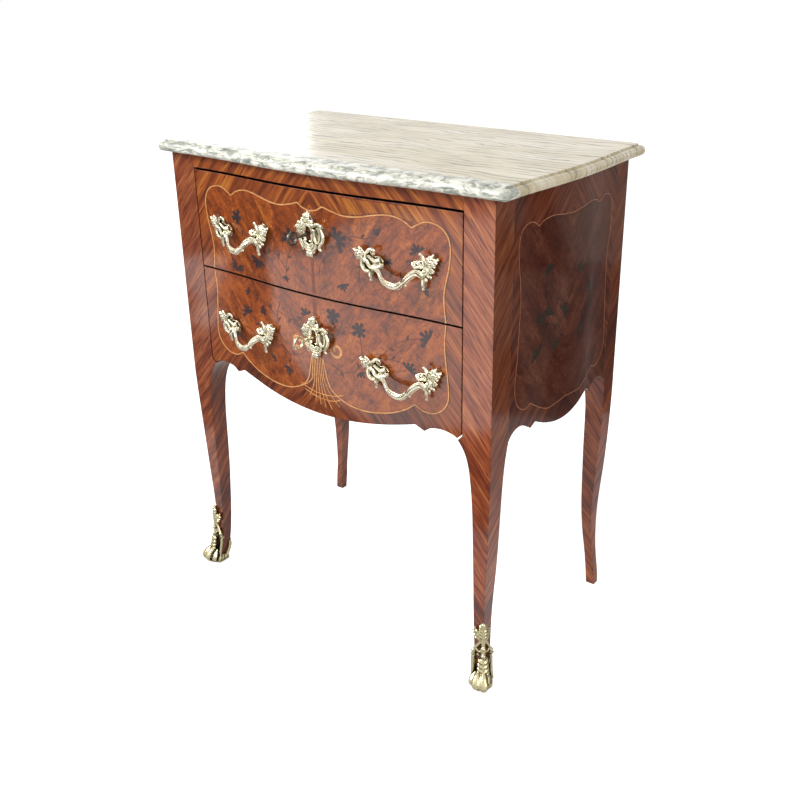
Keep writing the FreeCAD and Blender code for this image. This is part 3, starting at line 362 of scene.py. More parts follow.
def painted_shoe_shadow(tree, place, colour):
    """Painted shadow: near-black wood low on a front foot, near its outer faces, where the openings of its
    shoe lie in shade.
    """
    split = add(tree, "ShaderNodeSeparateXYZ", {0: place})
    wide = add(tree, "ShaderNodeMath", {0: split.outputs["X"]}, operation="ABSOLUTE").outputs[0]
    outward = add(tree, "ShaderNodeMath", {0: wide, 1: split.outputs["Y"]}, operation="SUBTRACT").outputs[0]
    near = add(tree, "ShaderNodeMapRange",
               {"Value": outward, "From Min": 0.455, "From Max": 0.462}).outputs[0]
    low = add(tree, "ShaderNodeMapRange",
              {"Value": split.outputs["Z"], "From Min": 0.09, "From Max": 0.08}).outputs[0]
    # Painted shadow where the foot is both low and near its outer faces
    shadow_mask = add(tree, "ShaderNodeMath", {0: near, 1: low}, operation="MULTIPLY").outputs[0]
    return add(tree, "ShaderNodeMix", {"Factor": shadow_mask, 6: colour, 7: linear("#120A07")},
               data_type="RGBA").outputs[2]


def french_polished_veneer(name, colours, layers, stripe, piece, fold=None, edges=False, post_shade=False):
    """Kingwood veneer under shellac: straight dark and light stripes, fine dark lines between them, a tone
    for each piece of veneer, and a deep gloss. Layers is the direction across the stripes; stripe and piece
    are widths that way in millimetres. Edges paints shade on a panel's top and bottom faces, so the gaps
    beside them read dark; the last switch paints shade on a post: darker flanks, and near-black wood in
    the openings of its shoe."""
    dark, brown, middle, light = colours
    material, tree, shader, place = new_material(name)
    spot = folded_place(tree, place, *fold) if fold else place
    turned = add(tree, "ShaderNodeMapping", {"Vector": spot, "Rotation": turn_to_x(layers)}).outputs[0]
    across = 1 / (stripe * MM)
    broad_at = add(tree, "ShaderNodeMapping",
                   {"Vector": turned, "Scale": (across, across / 16, across / 16)}).outputs[0]
    broad = add(tree, "ShaderNodeTexNoise", {"Vector": broad_at, "Scale": 0.8, "Detail": 3.0,
                                             "Roughness": 0.55, "Distortion": 0.25}).outputs[0]
    fine_at = add(tree, "ShaderNodeMapping",
                  {"Vector": turned, "Scale": (across * 3, across / 5, across / 5)}).outputs[0]
    fine = add(tree, "ShaderNodeTexNoise", {"Vector": fine_at, "Scale": 1.0, "Detail": 2.0}).outputs[0]
    sheet = add(tree, "ShaderNodeMapping",
                {"Vector": turned, "Scale": (1 / (piece * MM), 0.0, 0.0)}).outputs[0]
    sheet = add(tree, "ShaderNodeVectorMath", {0: sheet}, operation="FLOOR").outputs[0]
    tone = add(tree, "ShaderNodeTexWhiteNoise", {"Vector": sheet}, noise_dimensions="3D").outputs["Value"]
    total = add(tree, "ShaderNodeMath", {0: fine, 1: 0.5, 2: broad}, operation="MULTIPLY_ADD").outputs[0]
    total = add(tree, "ShaderNodeMath", {0: tone, 1: 0.24, 2: total}, operation="MULTIPLY_ADD").outputs[0]
    total = add(tree, "ShaderNodeMath", {0: total, 1: 0.7}, operation="MULTIPLY").outputs[0]
    colour = add(tree, "ShaderNodeValToRGB", {0: total},
                 stops=((0.44, dark), (0.57, brown), (0.68, middle), (0.84, light))).outputs[0]
    line = add(tree, "ShaderNodeValToRGB", {0: fine}, stops=((0.3, 0.75), (0.42, 0.0))).outputs[0]
    colour = add(tree, "ShaderNodeMix", {"Factor": line, 6: colour, 7: linear(dark)},
                 data_type="RGBA").outputs[2]
    if edges:
        colour = painted_gap_shade(tree, colour)
    # Painted shade on a post: darker flanks, and near-black wood in the openings of its shoe
    if post_shade:
        colour = painted_shoe_shadow(tree, place, painted_flank_shade(tree, place, colour))
    shellac(tree, shader, colour, fine)
    return material


def quartered_field(name, colours, layers, cloud, fold):
    """Figured rosewood of the fields, matched about the middle: cloudy figure that leans one way, fine
    streaks and small burrs, under the same shellac gloss. Cloud is the figure's size in millimetres."""
    dark, brown, middle, light = colours
    material, tree, shader, place = new_material(name)
    place = folded_place(tree, place, *fold)
    turned = add(tree, "ShaderNodeMapping", {"Vector": place, "Rotation": turn_to_x(layers)}).outputs[0]
    size = 1 / (cloud * MM)
    figure_at = add(tree, "ShaderNodeMapping", {"Vector": turned, "Scale": (size, size / 2.6, size / 2.6)})
    figure = add(tree, "ShaderNodeTexNoise", {"Vector": figure_at.outputs[0], "Scale": 1.0, "Detail": 4.0,
                                              "Roughness": 0.6, "Distortion": 1.1}).outputs[0]
    streak_at = add(tree, "ShaderNodeMapping",
                    {"Vector": turned, "Scale": (size * 14, size, size)}).outputs[0]
    streak = add(tree, "ShaderNodeTexNoise", {"Vector": streak_at, "Scale": 1.0, "Detail": 2.0}).outputs[0]
    burr = add(tree, "ShaderNodeTexNoise", {"Vector": place, "Scale": 1 / 0.007, "Detail": 4.0,
                                            "Distortion": 1.0}).outputs[0]
    total = add(tree, "ShaderNodeMath", {0: streak, 1: 0.24, 2: figure},
                operation="MULTIPLY_ADD").outputs[0]
    total = add(tree, "ShaderNodeMath", {0: burr, 1: 0.4, 2: total}, operation="MULTIPLY_ADD").outputs[0]
    total = add(tree, "ShaderNodeMath", {0: total, 1: 0.85}, operation="MULTIPLY").outputs[0]
    colour = add(tree, "ShaderNodeValToRGB", {0: total},
                 stops=((0.5, dark), (0.64, brown), (0.76, middle), (0.94, light)))
    curl = add(tree, "ShaderNodeTexNoise", {"Vector": turned, "Scale": 1 / 0.024, "Detail": 3.0,
                                            "Distortion": 2.0}).outputs[0]
    curl = add(tree, "ShaderNodeValToRGB", {0: curl},
               stops=((0.46, 0.0), (0.5, 0.6), (0.54, 0.0))).outputs[0]
    colour = add(tree, "ShaderNodeMix", {"Factor": curl, 6: colour.outputs[0], 7: linear(dark)},
                 data_type="RGBA").outputs[2]
    shellac(tree, shader, colour, streak)
    return material


def stained_inlay(name, dark, light, grain_width):
    """Small pieces of dyed or pale wood let into the veneer: fine grain, same polish as the ground."""
    material, tree, shader, place = new_material(name)
    size = 1 / (grain_width * MM)
    grain_at = add(tree, "ShaderNodeMapping", {"Vector": place, "Scale": (size / 6, size, size)}).outputs[0]
    grain = add(tree, "ShaderNodeTexNoise", {"Vector": grain_at, "Scale": 1.0, "Detail": 3.0}).outputs[0]
    colour = add(tree, "ShaderNodeValToRGB", {0: grain}, stops=((0.35, dark), (0.65, light)))
    feed(tree, shader, {"Base Color": colour.outputs[0], "Roughness": 0.35, "Coat Weight": 0.5,
                        "Coat Roughness": 0.08})
    return material


def marble_veins(tree, bent, depth):
    """How strongly a vein shows: wavy levels along the slab, strong in patches and fainter on its ends."""
    wave_at = add(tree, "ShaderNodeMapping",
                  {"Vector": bent, "Scale": (1 / 0.11, 1 / 0.05, 1 / 0.05)}).outputs[0]
    wave = add(tree, "ShaderNodeTexNoise", {"Vector": wave_at, "Scale": 1.0, "Detail": 3.0}).outputs[0]
    wave = add(tree, "ShaderNodeMath", {0: wave, 1: 3.2}, operation="MULTIPLY").outputs[0]
    level = add(tree, "ShaderNodeMath", {0: depth, 1: 1 / 0.016, 2: wave},
                operation="MULTIPLY_ADD").outputs[0]
    level = add(tree, "ShaderNodeMath", {0: level}, operation="FRACT").outputs[0]
    vein = add(tree, "ShaderNodeValToRGB", {0: level},
               stops=((0.0, 1.0), (0.22, 0.0), (0.78, 0.0), (1.0, 1.0))).outputs[0]
    patch_at = add(tree, "ShaderNodeMapping",
                   {"Vector": bent, "Scale": (1 / 0.05, 1 / 0.03, 1 / 0.03)}).outputs[0]
    patch = add(tree, "ShaderNodeTexNoise", {"Vector": patch_at, "Scale": 1.0, "Detail": 2.0}).outputs[0]
    strong = add(tree, "ShaderNodeMapRange", {"Value": patch, "From Min": 0.38, "From Max": 0.6,
                                              "To Min": 0.2, "To Max": 1.0}).outputs[0]
    streak = add(tree, "ShaderNodeMath", {0: vein, 1: strong}, operation="MULTIPLY").outputs[0]
    faint = add(tree, "ShaderNodeMapRange", {"Value": facing(tree, "X"), "From Min": 0.2, "From Max": 0.7,
                                             "To Min": 1.0, "To Max": 0.55}).outputs[0]
    return add(tree, "ShaderNodeMath", {0: streak, 1: faint}, operation="MULTIPLY").outputs[0]


def marble_front_layer(tree, bent):
    """The grey and white mottle that the saw met along the front edge."""
    strata_at = add(tree, "ShaderNodeMapping", {"Vector": bent, "Rotation": (0, math.radians(55), 0),
                                                "Scale": (1 / 0.018, 1 / 0.018, 1 / 0.006)}).outputs[0]
    blotch = add(tree, "ShaderNodeTexNoise", {"Vector": strata_at, "Scale": 1.0, "Detail": 5.0,
                                              "Roughness": 0.62, "Distortion": 0.9}).outputs[0]
    return add(tree, "ShaderNodeValToRGB", {0: blotch},
               stops=((0.32, "#7E8681"), (0.43, "#A9ADA2"), (0.5, "#D3D2C4"), (0.58, "#F2F0E6"))).outputs[0]


def polished_breccia_marble():
    """Cream marble with grey-green veins that run along the front: broken wavy streaks on the top, a grey
    and white layer along the front edge, which is duller, and fainter bands on the ends."""
    material, tree, shader, place = new_material("polished_breccia_marble")
    warp = add(tree, "ShaderNodeTexNoise",
               {"Vector": place, "Scale": 1 / 0.12, "Detail": 2.0}).outputs["Color"]
    bent = add(tree, "ShaderNodeVectorMath", {0: warp, 1: (0.03, 0.02, 0.03), 2: place},
               operation="MULTIPLY_ADD").outputs[0]
    cloud_at = add(tree, "ShaderNodeMapping",
                   {"Vector": bent, "Scale": (1 / 0.15, 1 / 0.03, 1 / 0.06)}).outputs[0]
    cloud = add(tree, "ShaderNodeTexNoise", {"Vector": cloud_at, "Scale": 1.0, "Detail": 4.0}).outputs[0]
    colour = add(tree, "ShaderNodeValToRGB", {0: cloud},
                 stops=((0.34, "#CCBE9C"), (0.46, "#D9CBAA"), (0.56, "#E2D6BA"), (0.68, "#EAE0CB")))
    depth = add(tree, "ShaderNodeSeparateXYZ", {0: bent}).outputs["Y"]
    streak = marble_veins(tree, bent, depth)
    colour = add(tree, "ShaderNodeMix", {"Factor": streak, 6: colour.outputs[0], 7: linear("#4E5148")},
                 data_type="RGBA").outputs[2]
    front = add(tree, "ShaderNodeMapRange",
                {"Value": depth, "From Min": -0.124, "From Max": -0.14}).outputs[0]
    layer = marble_front_layer(tree, bent)
    colour = add(tree, "ShaderNodeMix", {"Factor": front, 6: colour, 7: layer},
                 data_type="RGBA").outputs[2]
    dull = add(tree, "ShaderNodeMapRange", {"Value": front, "To Min": 0.18, "To Max": 0.4}).outputs[0]
    feed(tree, shader, {"Base Color": colour, "Roughness": dull, "IOR": 1.5})
    return material


def gilt_bronze(name, hollows, shades):
    """Cast bronze, chased and water gilt: pale greenish gold, rubbed bright on the high places, and darkened
    in the hollows by ambient occlusion, which is painted shade there as well as old soil left in them.
    Hollows is their width in millimetres, shades run from the dark of the hollows to gold."""
    material, tree, shader, place = new_material(name)
    # Ambient occlusion: painted shade in the hollows, along with the old soil there
    hollow = add(tree, "ShaderNodeAmbientOcclusion", {"Distance": hollows * MM}, samples=8, only_local=True)
    tarnish = add(tree, "ShaderNodeTexNoise",
                  {"Vector": place, "Scale": 1 / 0.012, "Detail": 4.0}).outputs[0]
    total = add(tree, "ShaderNodeMath", {0: tarnish, 1: 0.25, 2: hollow.outputs["AO"]},
                operation="MULTIPLY_ADD")
    colour = add(tree, "ShaderNodeValToRGB", {0: total.outputs[0]},
                 stops=tuple(zip((0.4, 0.64, 0.86, 1.0), shades)))
    grain = add(tree, "ShaderNodeTexNoise",
                {"Vector": place, "Scale": 1 / 0.0011, "Detail": 2.0}).outputs[0]
    chased = add(tree, "ShaderNodeBump", {"Height": grain, "Strength": 0.12, "Distance": 0.0003})
    feed(tree, shader, {"Base Color": colour.outputs[0], "Normal": chased.outputs[0], "Metallic": 1.0,
                        "Roughness": 0.27})
    return material


def filed_steel(name, dark, light, roughness):
    """Hand-filed iron or steel: fine marks one way, a little brown in the grain."""
    material, tree, shader, place = new_material(name)
    marks_at = add(tree, "ShaderNodeMapping",
                   {"Vector": place, "Scale": (1 / 0.02, 1 / 0.02, 1 / 0.0008)}).outputs[0]
    marks = add(tree, "ShaderNodeTexNoise", {"Vector": marks_at, "Scale": 1.0, "Detail": 3.0}).outputs[0]
    colour = add(tree, "ShaderNodeValToRGB", {0: marks}, stops=((0.3, dark), (0.7, light)))
    feed(tree, shader, {"Base Color": colour.outputs[0], "Metallic": 1.0, "Roughness": roughness})
    return material


def waxed_oak(name, grain):
    """Plain sawn oak inside the case: straight pale grain with darker pores and a dull wax."""
    material, tree, shader, place = new_material(name)
    turned = add(tree, "ShaderNodeMapping", {"Vector": place, "Rotation": turn_to_x(grain)}).outputs[0]
    ring_at = add(tree, "ShaderNodeMapping",
                  {"Vector": turned, "Scale": (1 / 0.3, 1 / 0.012, 1 / 0.012)}).outputs[0]
    rings = add(tree, "ShaderNodeTexNoise", {"Vector": ring_at, "Scale": 1.0, "Detail": 4.0,
                                             "Distortion": 0.4}).outputs[0]
    pore_at = add(tree, "ShaderNodeMapping",
                  {"Vector": turned, "Scale": (1 / 0.03, 1 / 0.0012, 1 / 0.0012)}).outputs[0]
    pores = add(tree, "ShaderNodeTexNoise", {"Vector": pore_at, "Scale": 1.0, "Detail": 2.0}).outputs[0]
    total = add(tree, "ShaderNodeMath", {0: pores, 1: 0.35, 2: rings}, operation="MULTIPLY_ADD").outputs[0]
    colour = add(tree, "ShaderNodeValToRGB", {0: total},
                 stops=((0.42, "#6B4524"), (0.62, "#9A6E3F"), (0.85, "#B98B56")))
    relief = add(tree, "ShaderNodeBump", {"Height": pores, "Strength": 0.2, "Distance": 0.0004})
    feed(tree, shader, {"Base Color": colour.outputs[0], "Normal": relief.outputs[0], "Roughness": 0.6})
    return material


POST_COLOURS = ("#541D0E", "#80391A", "#A0532D", "#BC7443")
# The left posts take a darker copy of the post colours: painted shade
SHADED_LEFT_COLOURS = ("#4C190B", "#733219", "#904A28", "#AC693D")
BORDER_COLOURS = ("#451708", "#783512", "#9C4E1C", "#C27A2C")
FIELD_COLOURS = ("#4A1A0A", "#833B0F", "#A04C14", "#BC6B24")
SIDE_COLOURS = ("#280B06", "#4C1D10", "#69311B", "#864C33")
SIDE_FIELD_COLOURS = ("#38140B", "#4C1F13", "#60301F", "#78452F")
WEDGE_COLOURS = ("#6A2A0C", "#9C5318", "#B86E22", "#D08E3C")
MIDDLE_FOLD = ("X", 0.0)
SIDE_FOLD = ("Y", SIDE_MIDDLE_Y * MM)

RIGHT_POST = french_polished_veneer("kingwood_right_posts", POST_COLOURS, (1, -1, 0.85), 5.5, 70.0,
                                    post_shade=True)
LEFT_POST = french_polished_veneer("shaded_kingwood_left_posts", SHADED_LEFT_COLOURS, (-1, -1, 0.85), 5.5, 70.0,
                                   post_shade=True)
RAIL = french_polished_veneer("kingwood_rail", BORDER_COLOURS, (1, 0, 1), 8.0, 80.0, MIDDLE_FOLD,
                              edges=True)
BORDER = french_polished_veneer("kingwood_crossbanding", BORDER_COLOURS, (1, 0, 0.9), 8.0, 90.0,
                                MIDDLE_FOLD, edges=True)
WEDGE = french_polished_veneer("tulipwood_wedge", WEDGE_COLOURS, (1, 0, 0.75), 7.0, 200.0)
SIDE = french_polished_veneer("kingwood_sides", SIDE_COLOURS, (0, 1, 0.9), 9.0, 60.0, SIDE_FOLD)
FIELD = quartered_field("figured_rosewood_field", FIELD_COLOURS, (1, 0, -0.9), 26.0, MIDDLE_FOLD)
SIDE_FIELD = quartered_field("figured_rosewood_side", SIDE_FIELD_COLOURS, (0, 1, -0.9), 34.0, SIDE_FOLD)
BOXWOOD = stained_inlay("boxwood_string", "#CC8038", "#EBAA62", 3.0)
SIDE_BOXWOOD = stained_inlay("aged_boxwood_string", "#9A5C40", "#BC7E5C", 3.0)
BLOSSOM = stained_inlay("dyed_sycamore_blossom", "#1C0D10", "#3A1F25", 2.0)
JOINT = stained_inlay("cherry_joint", "#5E2112", "#7E341C", 5.0)
STEM = stained_inlay("dyed_sycamore_stem", "#421A0E", "#5A2614", 2.0)
SIDE_BLOSSOM = stained_inlay("greened_sycamore_blossom", "#15140E", "#2C2B20", 2.0)
SIDE_STEM = stained_inlay("smoked_sycamore_stem", "#1E0C07", "#2E140C", 2.0)
MARBLE = polished_breccia_marble()
GILT = gilt_bronze("chased_gilt_bronze", 3.5, ("#1C160A", "#70653B", "#B6AC7D", "#E6DEC4"))
# The shoes' gilt is darker, with wider hollows: more tarnish, and more painted shade in its crevices
SHOE_GILT = gilt_bronze("worn_gilt_bronze", 7.0, ("#080503", "#2A220F", "#6A5F37", "#CFC59E"))
STEEL = filed_steel("filed_lock_steel", "#55514B", "#8E8A83", 0.34)
KEY_STEEL = filed_steel("worn_key_steel", "#3A352D", "#8D877B", 0.3)
IRON = filed_steel("dark_iron", "#1A1613", "#3B342D", 0.55)
OAK_ALONG = waxed_oak("waxed_oak_along", (0, 1, 0))
OAK_ACROSS = waxed_oak("waxed_oak_across", (1, 0, 0))


# What each node is finished with, by the first of these words in its name; the rest is oak that runs back
NODE_FINISHES = (
    ("marble_top", MARBLE), ("left_leg", LEFT_POST), ("right_leg", RIGHT_POST), ("top_front_rail", RAIL),
    ("drawer_front", BORDER), ("side_panel", SIDE), ("handle_bolts", IRON), ("lock", STEEL),
    ("top_key", KEY_STEEL), ("sabot", SHOE_GILT), ("handle", GILT), ("escutcheon", GILT), ("key", GILT),
    ("back", OAK_ACROSS), ("rail", OAK_ACROSS), ("board", OAK_ACROSS), ("drawer_bottom", OAK_ACROSS),
)


def dress_nodes():
    """Gives every node of the frame its finish."""
    for name, thing in NODES.items():
        finish = next((finish for word, finish in NODE_FINISHES if word in name), OAK_ALONG)
        thing.data.materials.clear()
        thing.data.materials.append(finish)


# Surfaces that inlay is bent to


def swell(t, half, bow):
    """How far a serpentine of three tangent arcs stands out, at t from its middle."""
    quarter = half / 2
    rise = bow / 2
    radius = (quarter ** 2 + rise ** 2) / (2 * rise)
    if abs(t) <= quarter:
        return bow - radius + math.sqrt(radius ** 2 - t ** 2)
    return radius - math.sqrt(radius ** 2 - max(half - abs(t), 0) ** 2)


def on_front(u, v, out):
    """A point (across, up, out) on the bowed fronts."""
    return Vector((u, ARRIS_Y - swell(u, HALF_OPENING, FRONT_BOW) - out, v)) * MM


def on_side(sense):
    """The surface of the right side (1) or the left (-1), for points (to a viewer's right, up, out)."""
    def surface(u, v, out):
        far = HALF_WIDTH + swell(u, HALF_SIDE, SIDE_BOW) + out
        return Vector((sense * far, SIDE_MIDDLE_Y + sense * u, v)) * MM
    return surface


def smooth_run(points, steps=CURVE_STEPS):
    """Points on a Catmull-Rom curve through the given ones."""
    padded = [2 * Vector(points[0]) - Vector(points[1])] + [Vector(p) for p in points]
    padded.append(2 * Vector(points[-1]) - Vector(points[-2]))
    run = []
    for a, b, c, d in zip(padded, padded[1:], padded[2:], padded[3:]):
        for k in range(steps):
            t = k / steps
            run.append(0.5 * (2 * b + (c - a) * t + (2 * a - 5 * b + 4 * c - d) * t ** 2
                              + (3 * b - a - 3 * c + d) * t ** 3))
    return run + [Vector(points[-1])]


def flipped(run):
    """A run mirrored about the middle."""
    return [Vector((-p.x,) + tuple(p)[1:]) for p in run]


def both_sides(runs):
    """The runs, and their mirror images about the middle."""
    drawn = [smooth_run(run) for run in runs]
    return drawn + [flipped(run) for run in drawn]


def mesh_of(bm, name):
    """The mesh of some work in hand, which is then let go."""
    mesh = bpy.data.meshes.new(name)
    bm.to_mesh(mesh)
    bm.free()
    return mesh


def take_in(bm, mesh):
    """Adds a mesh to the work in hand, and removes it."""
    bm.from_mesh(mesh)
    bpy.data.meshes.remove(mesh)


def bend(bm, surface, lift, name):
    """Bends flat work to a surface and returns it as a mesh with crisp rims."""
    for vert in bm.verts:
        u, v, out = vert.co
        vert.co = surface(u, v, lift + out)
    bmesh.ops.recalc_face_normals(bm, faces=bm.faces)
    for edge in bm.edges:
        edge.smooth = edge.calc_face_angle(math.pi) < CRISP_ANGLE
    for face in bm.faces:
        face.smooth = True
    return mesh_of(bm, name)


def cut_sheets(outlines):
    """Flat veneer sheets of the given outlines, cut into strips narrow enough to bend."""
    bm = bmesh.new()
    for outline in outlines:
        bm.faces.new([bm.verts.new((p[0], p[1], 0)) for p in outline])
    bmesh.ops.recalc_face_normals(bm, faces=bm.faces)
    bmesh.ops.triangulate(bm, faces=bm.faces)
    low = min(vert.co.x for vert in bm.verts)
    high = max(vert.co.x for vert in bm.verts)
    cut = math.ceil(low / BEND_STEP) * BEND_STEP
    while cut < high:
        bmesh.ops.bisect_plane(bm, geom=bm.verts[:] + bm.edges[:] + bm.faces[:], dist=CUT_TOLERANCE,
                               plane_co=(cut, 0, 0), plane_no=(1, 0, 0))
        cut += BEND_STEP
    bmesh.ops.triangulate(bm, faces=bm.faces)
    top = bm.faces[:]
    if top[0].normal.z < 0:
        bmesh.ops.reverse_faces(bm, faces=top)
    bmesh.ops.solidify(bm, geom=top, thickness=SHEET_THICKNESS)
    high = max(vert.co.z for vert in bm.verts)
    for vert in bm.verts:
        vert.co.z -= high
    return bm


def add_piece(name, mesh, finish, body):
    """A finished piece that rides on a body of the frame."""
    mesh.materials.clear()
    mesh.materials.append(finish)
    piece = new_object(name, mesh)
    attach(piece, body)
    return piece


# Strings and stems


def path_tree(name, inputs):
    """A node tree for paths, with the given inputs and a Finish, and the sockets inside it."""
    tree = bpy.data.node_groups.new(name, "GeometryNodeTree")
    sockets = {"Path": "NodeSocketGeometry", **inputs, "Finish": "NodeSocketMaterial"}
    for label, kind in sockets.items():
        tree.interface.new_socket(label, in_out="INPUT", socket_type=kind)
    tree.interface.new_socket("Swept", in_out="OUTPUT", socket_type="NodeSocketGeometry")
    return tree, add(tree, "NodeGroupInput").outputs


def sweep(tree, inside, section):
    """Ends a tree for paths: the section swept along each path, as large as the path's radius there."""
    level = add(tree, "GeometryNodeSetCurveNormal", {"Curve": inside["Path"]}, mode="Z_UP")
    radius = add(tree, "GeometryNodeInputRadius").outputs[0]
    bar = add(tree, "GeometryNodeCurveToMesh", {"Curve": level.outputs[0], "Profile Curve": section,
                                                "Scale": radius, "Fill Caps": True})
    real = add(tree, "GeometryNodeRealizeInstances", {"Geometry": bar.outputs[0]})
    done = add(tree, "GeometryNodeSetMaterial", {"Geometry": real.outputs[0], "Material": inside["Finish"]})
    add(tree, "NodeGroupOutput", {"Swept": done.outputs[0]})


def string_tree():
    """A strip of square section along each flat path: inputs Width, Thickness and Finish."""
    tree, inside = path_tree("inlaid string", {"Width": "NodeSocketFloat", "Thickness": "NodeSocketFloat"})
    section = add(tree, "GeometryNodeCurvePrimitiveQuadrilateral",
                  {"Width": inside["Width"], "Height": inside["Thickness"]})
    sweep(tree, inside, section.outputs[0])
    return tree


def paths_object(name, runs):
    """A curve object with one open path for each run of points: (u, v), or (u, v, out, radius)."""
    paths = bpy.data.curves.new(name, "CURVE")
    paths.dimensions = "3D"
    for run in runs:
        spline = paths.splines.new("POLY")
        spline.points.add(len(run) - 1)
        for point, place in zip(spline.points, run):
            u, v, out, radius = place if len(place) == 4 else (*place, 0.0, 1.0)
            point.co = (u, v, out, 1.0)
            point.radius = radius
    return new_object(name, paths)


def plain_mesh(thing):
    """The mesh that an object's modifiers make of it; the object is then removed."""
    graph = bpy.context.evaluated_depsgraph_get()
    mesh = bpy.data.meshes.new_from_object(thing.evaluated_get(graph), depsgraph=graph)
    bpy.data.objects.remove(thing)
    return mesh


def grown(thing, tree, values):
    """The plain mesh that a node tree makes from an object."""
    modifier = thing.modifiers.new("tree", "NODES")
    modifier.node_group = tree
    keys = {item.name: item.identifier for item in tree.interface.items_tree if item.in_out == "INPUT"}
    for label, value in values.items():
        modifier[keys[label]] = value
    return plain_mesh(thing)


STRING_TREE = string_tree()


def lay_strings(name, runs, width, finish, surface, lift, body):
    """Strings of one width let into a surface."""
    values = {"Width": width, "Thickness": SHEET_THICKNESS, "Finish": finish}
    bm = bmesh.new()
    take_in(bm, grown(paths_object(name, runs), STRING_TREE, values))
    add_piece(name, bend(bm, surface, lift - SHEET_THICKNESS / 2, name), finish, body)


def lay_sheets(name, outlines, finish, surface, lift, body):
    """Sheets of one veneer let into a surface."""
    add_piece(name, bend(cut_sheets(outlines), surface, lift, name), finish, body)


def sheaf_runs():
    """The strings that fall from the lower escutcheon, and their two ties."""
    runs = []
    for top, waist, foot, foot_z in SHEAF:
        half_way = ((waist + foot) / 2 - foot * SHEAF_SLACK, (SHEAF_WAIST + foot_z) / 2)
        runs.append(smooth_run(((top, SHEAF_HEAD), (waist, SHEAF_WAIST), half_way, (foot, foot_z))))
    return runs + [smooth_run(tie) for tie in SHEAF_TIES]


def scroll_runs():
    """The scrolls beside the lower escutcheon."""
    runs = []
    for x, z in SCROLL_CENTRES:
        inward = -1 if x > 0 else 1
        run = []
        for k in range(SCROLL_STEPS + 1):
            turn = math.tau * SCROLL_TURNS * k / SCROLL_STEPS
            radius = SCROLL_RADIUS * (1 - SCROLL_CLOSING * k / SCROLL_STEPS)
            run.append(Vector((x + inward * radius * math.cos(turn), z - radius * math.sin(turn))))
        runs.append(run)
    return runs


def blossom(x, z, width, turn, lobes, spread):
    """Outline of one flower: notched lobes that fan from a base, or go all the way round."""
    whole = spread >= 360
    reach = width / 2 if whole else width * FAN_REACH
    back = 0 if whole else width * FAN_FOOT
    foot = Vector((x, z)) - back * Vector((math.cos(math.radians(turn)), math.sin(math.radians(turn))))
    first = turn - spread / 2
    edge = []
    for k in range(lobes):
        for part, radius in LOBE_SHARES:
            aim = math.radians(first + spread * (k + part) / lobes)
            length = reach * radius * (1 - LOBE_STEP * (k % 2))
            edge.append((foot.x + length * math.cos(aim), foot.y + length * math.sin(aim)))
    return edge if whole else edge + [(foot.x, foot.y)]


def leaf_outline(x, z, turn):
    """Outline of one pointed leaf, from its foot."""
    edge = list(LEAF_SHARES) + [(a, -b) for a, b in reversed(LEAF_SHARES[1:-1])]
    return [(x + LEAF_LENGTH * a * math.cos(turn) - LEAF_WIDTH * b * math.sin(turn),
             z + LEAF_LENGTH * a * math.sin(turn) + LEAF_WIDTH * b * math.cos(turn)) for a, b in edge]


def stem_leaves(runs):
    """Small leaves set in turn on either side of each stem."""
    outlines = []
    for run in runs:
        for k in range(LEAF_FIRST, len(run) - BARE_TIP, LEAF_PITCH):
            ahead = run[k + 1] - run[k]
            sense = 1 if (k // LEAF_PITCH) % 2 else -1
            turn = math.atan2(ahead.y, ahead.x) + sense * LEAF_LEAN
            outlines.append(leaf_outline(run[k].x, run[k].y, turn))
    return outlines


def inlay_flowers(name, flowers, stems, surface, body, petal, stalk):
    """Flowers, stems and leaves of dyed wood let into a field."""
    stalks = [smooth_run(stem) for stem in stems]
    lay_strings(name + "_stems", stalks, STEM_WIDTH, stalk, surface, FLOWER_LIFT, body)
    lay_sheets(name + "_leaves", stem_leaves(stalks), stalk, surface, FLOWER_LIFT, body)
    petals = [blossom(*flower) for flower in flowers]
    lay_sheets(name + "_blossoms", petals, petal, surface, PETAL_LIFT, body)


def inlay_fronts():
    """The fields, strings and flowers of both drawer fronts."""
    plans = (("top", TOP_STRING_RUNS, TOP_FLOWERS, TOP_STEMS),
             ("bottom", BOTTOM_STRING_RUNS, BOTTOM_FLOWERS, BOTTOM_STEMS))
    for name, runs, flowers, stems in plans:
        body = name + "_drawer"
        half = [p for run in runs for p in smooth_run(run)[:-1]] + [Vector(runs[-1][-1])]
        outline = half + list(reversed(flipped(half)))
        lay_sheets(name + "_field", [outline], FIELD, on_front, FIELD_LIFT, body)
        lines = both_sides(runs)
        lay_strings(name + "_dark_lines", lines, STRING_WIDTH + LINE_MARGIN, STEM, on_front,
                    UNDER_STRING_LIFT, body)
        lay_strings(name + "_strings", lines, STRING_WIDTH, BOXWOOD, on_front, STRING_LIFT, body)
        lay_sheets(name + "_centre_joint", [CENTRE_JOINTS[name]], JOINT, on_front, FLOWER_LIFT, body)
        inlay_flowers(name, flowers, stems, on_front, body, BLOSSOM, STEM)
    lay_sheets("top_wedges", TOP_WEDGES, WEDGE, on_front, UNDER_STRING_LIFT, "top_drawer")
    for name, runs, width in (("bottom_sheaf", sheaf_runs(), SHEAF_WIDTH),
                              ("bottom_scrolls", scroll_runs(), SCROLL_WIDTH)):
        lay_strings(name, runs, width, BOXWOOD, on_front, STRING_LIFT, "bottom_drawer")


def inlay_sides():
    """The field, string and flowers of each side, alike on both."""
    for name, surface in (("left_side", on_side(-1)), ("right_side", on_side(1))):
        half = [p for run in SIDE_STRING_RUNS for p in smooth_run(run)[:-1]]
        outline = half + list(reversed(flipped(half)))
        lay_sheets(name + "_field", [outline[1:]], SIDE_FIELD, surface, FIELD_LIFT, "carcase")
        lay_strings(name + "_strings", both_sides(SIDE_STRING_RUNS), SIDE_STRING_WIDTH, SIDE_BOXWOOD,
                    surface, STRING_LIFT, "carcase")
        inlay_flowers(name, SIDE_FLOWERS, SIDE_STEMS, surface, "carcase", SIDE_BLOSSOM, SIDE_STEM)


# Gilt mounts


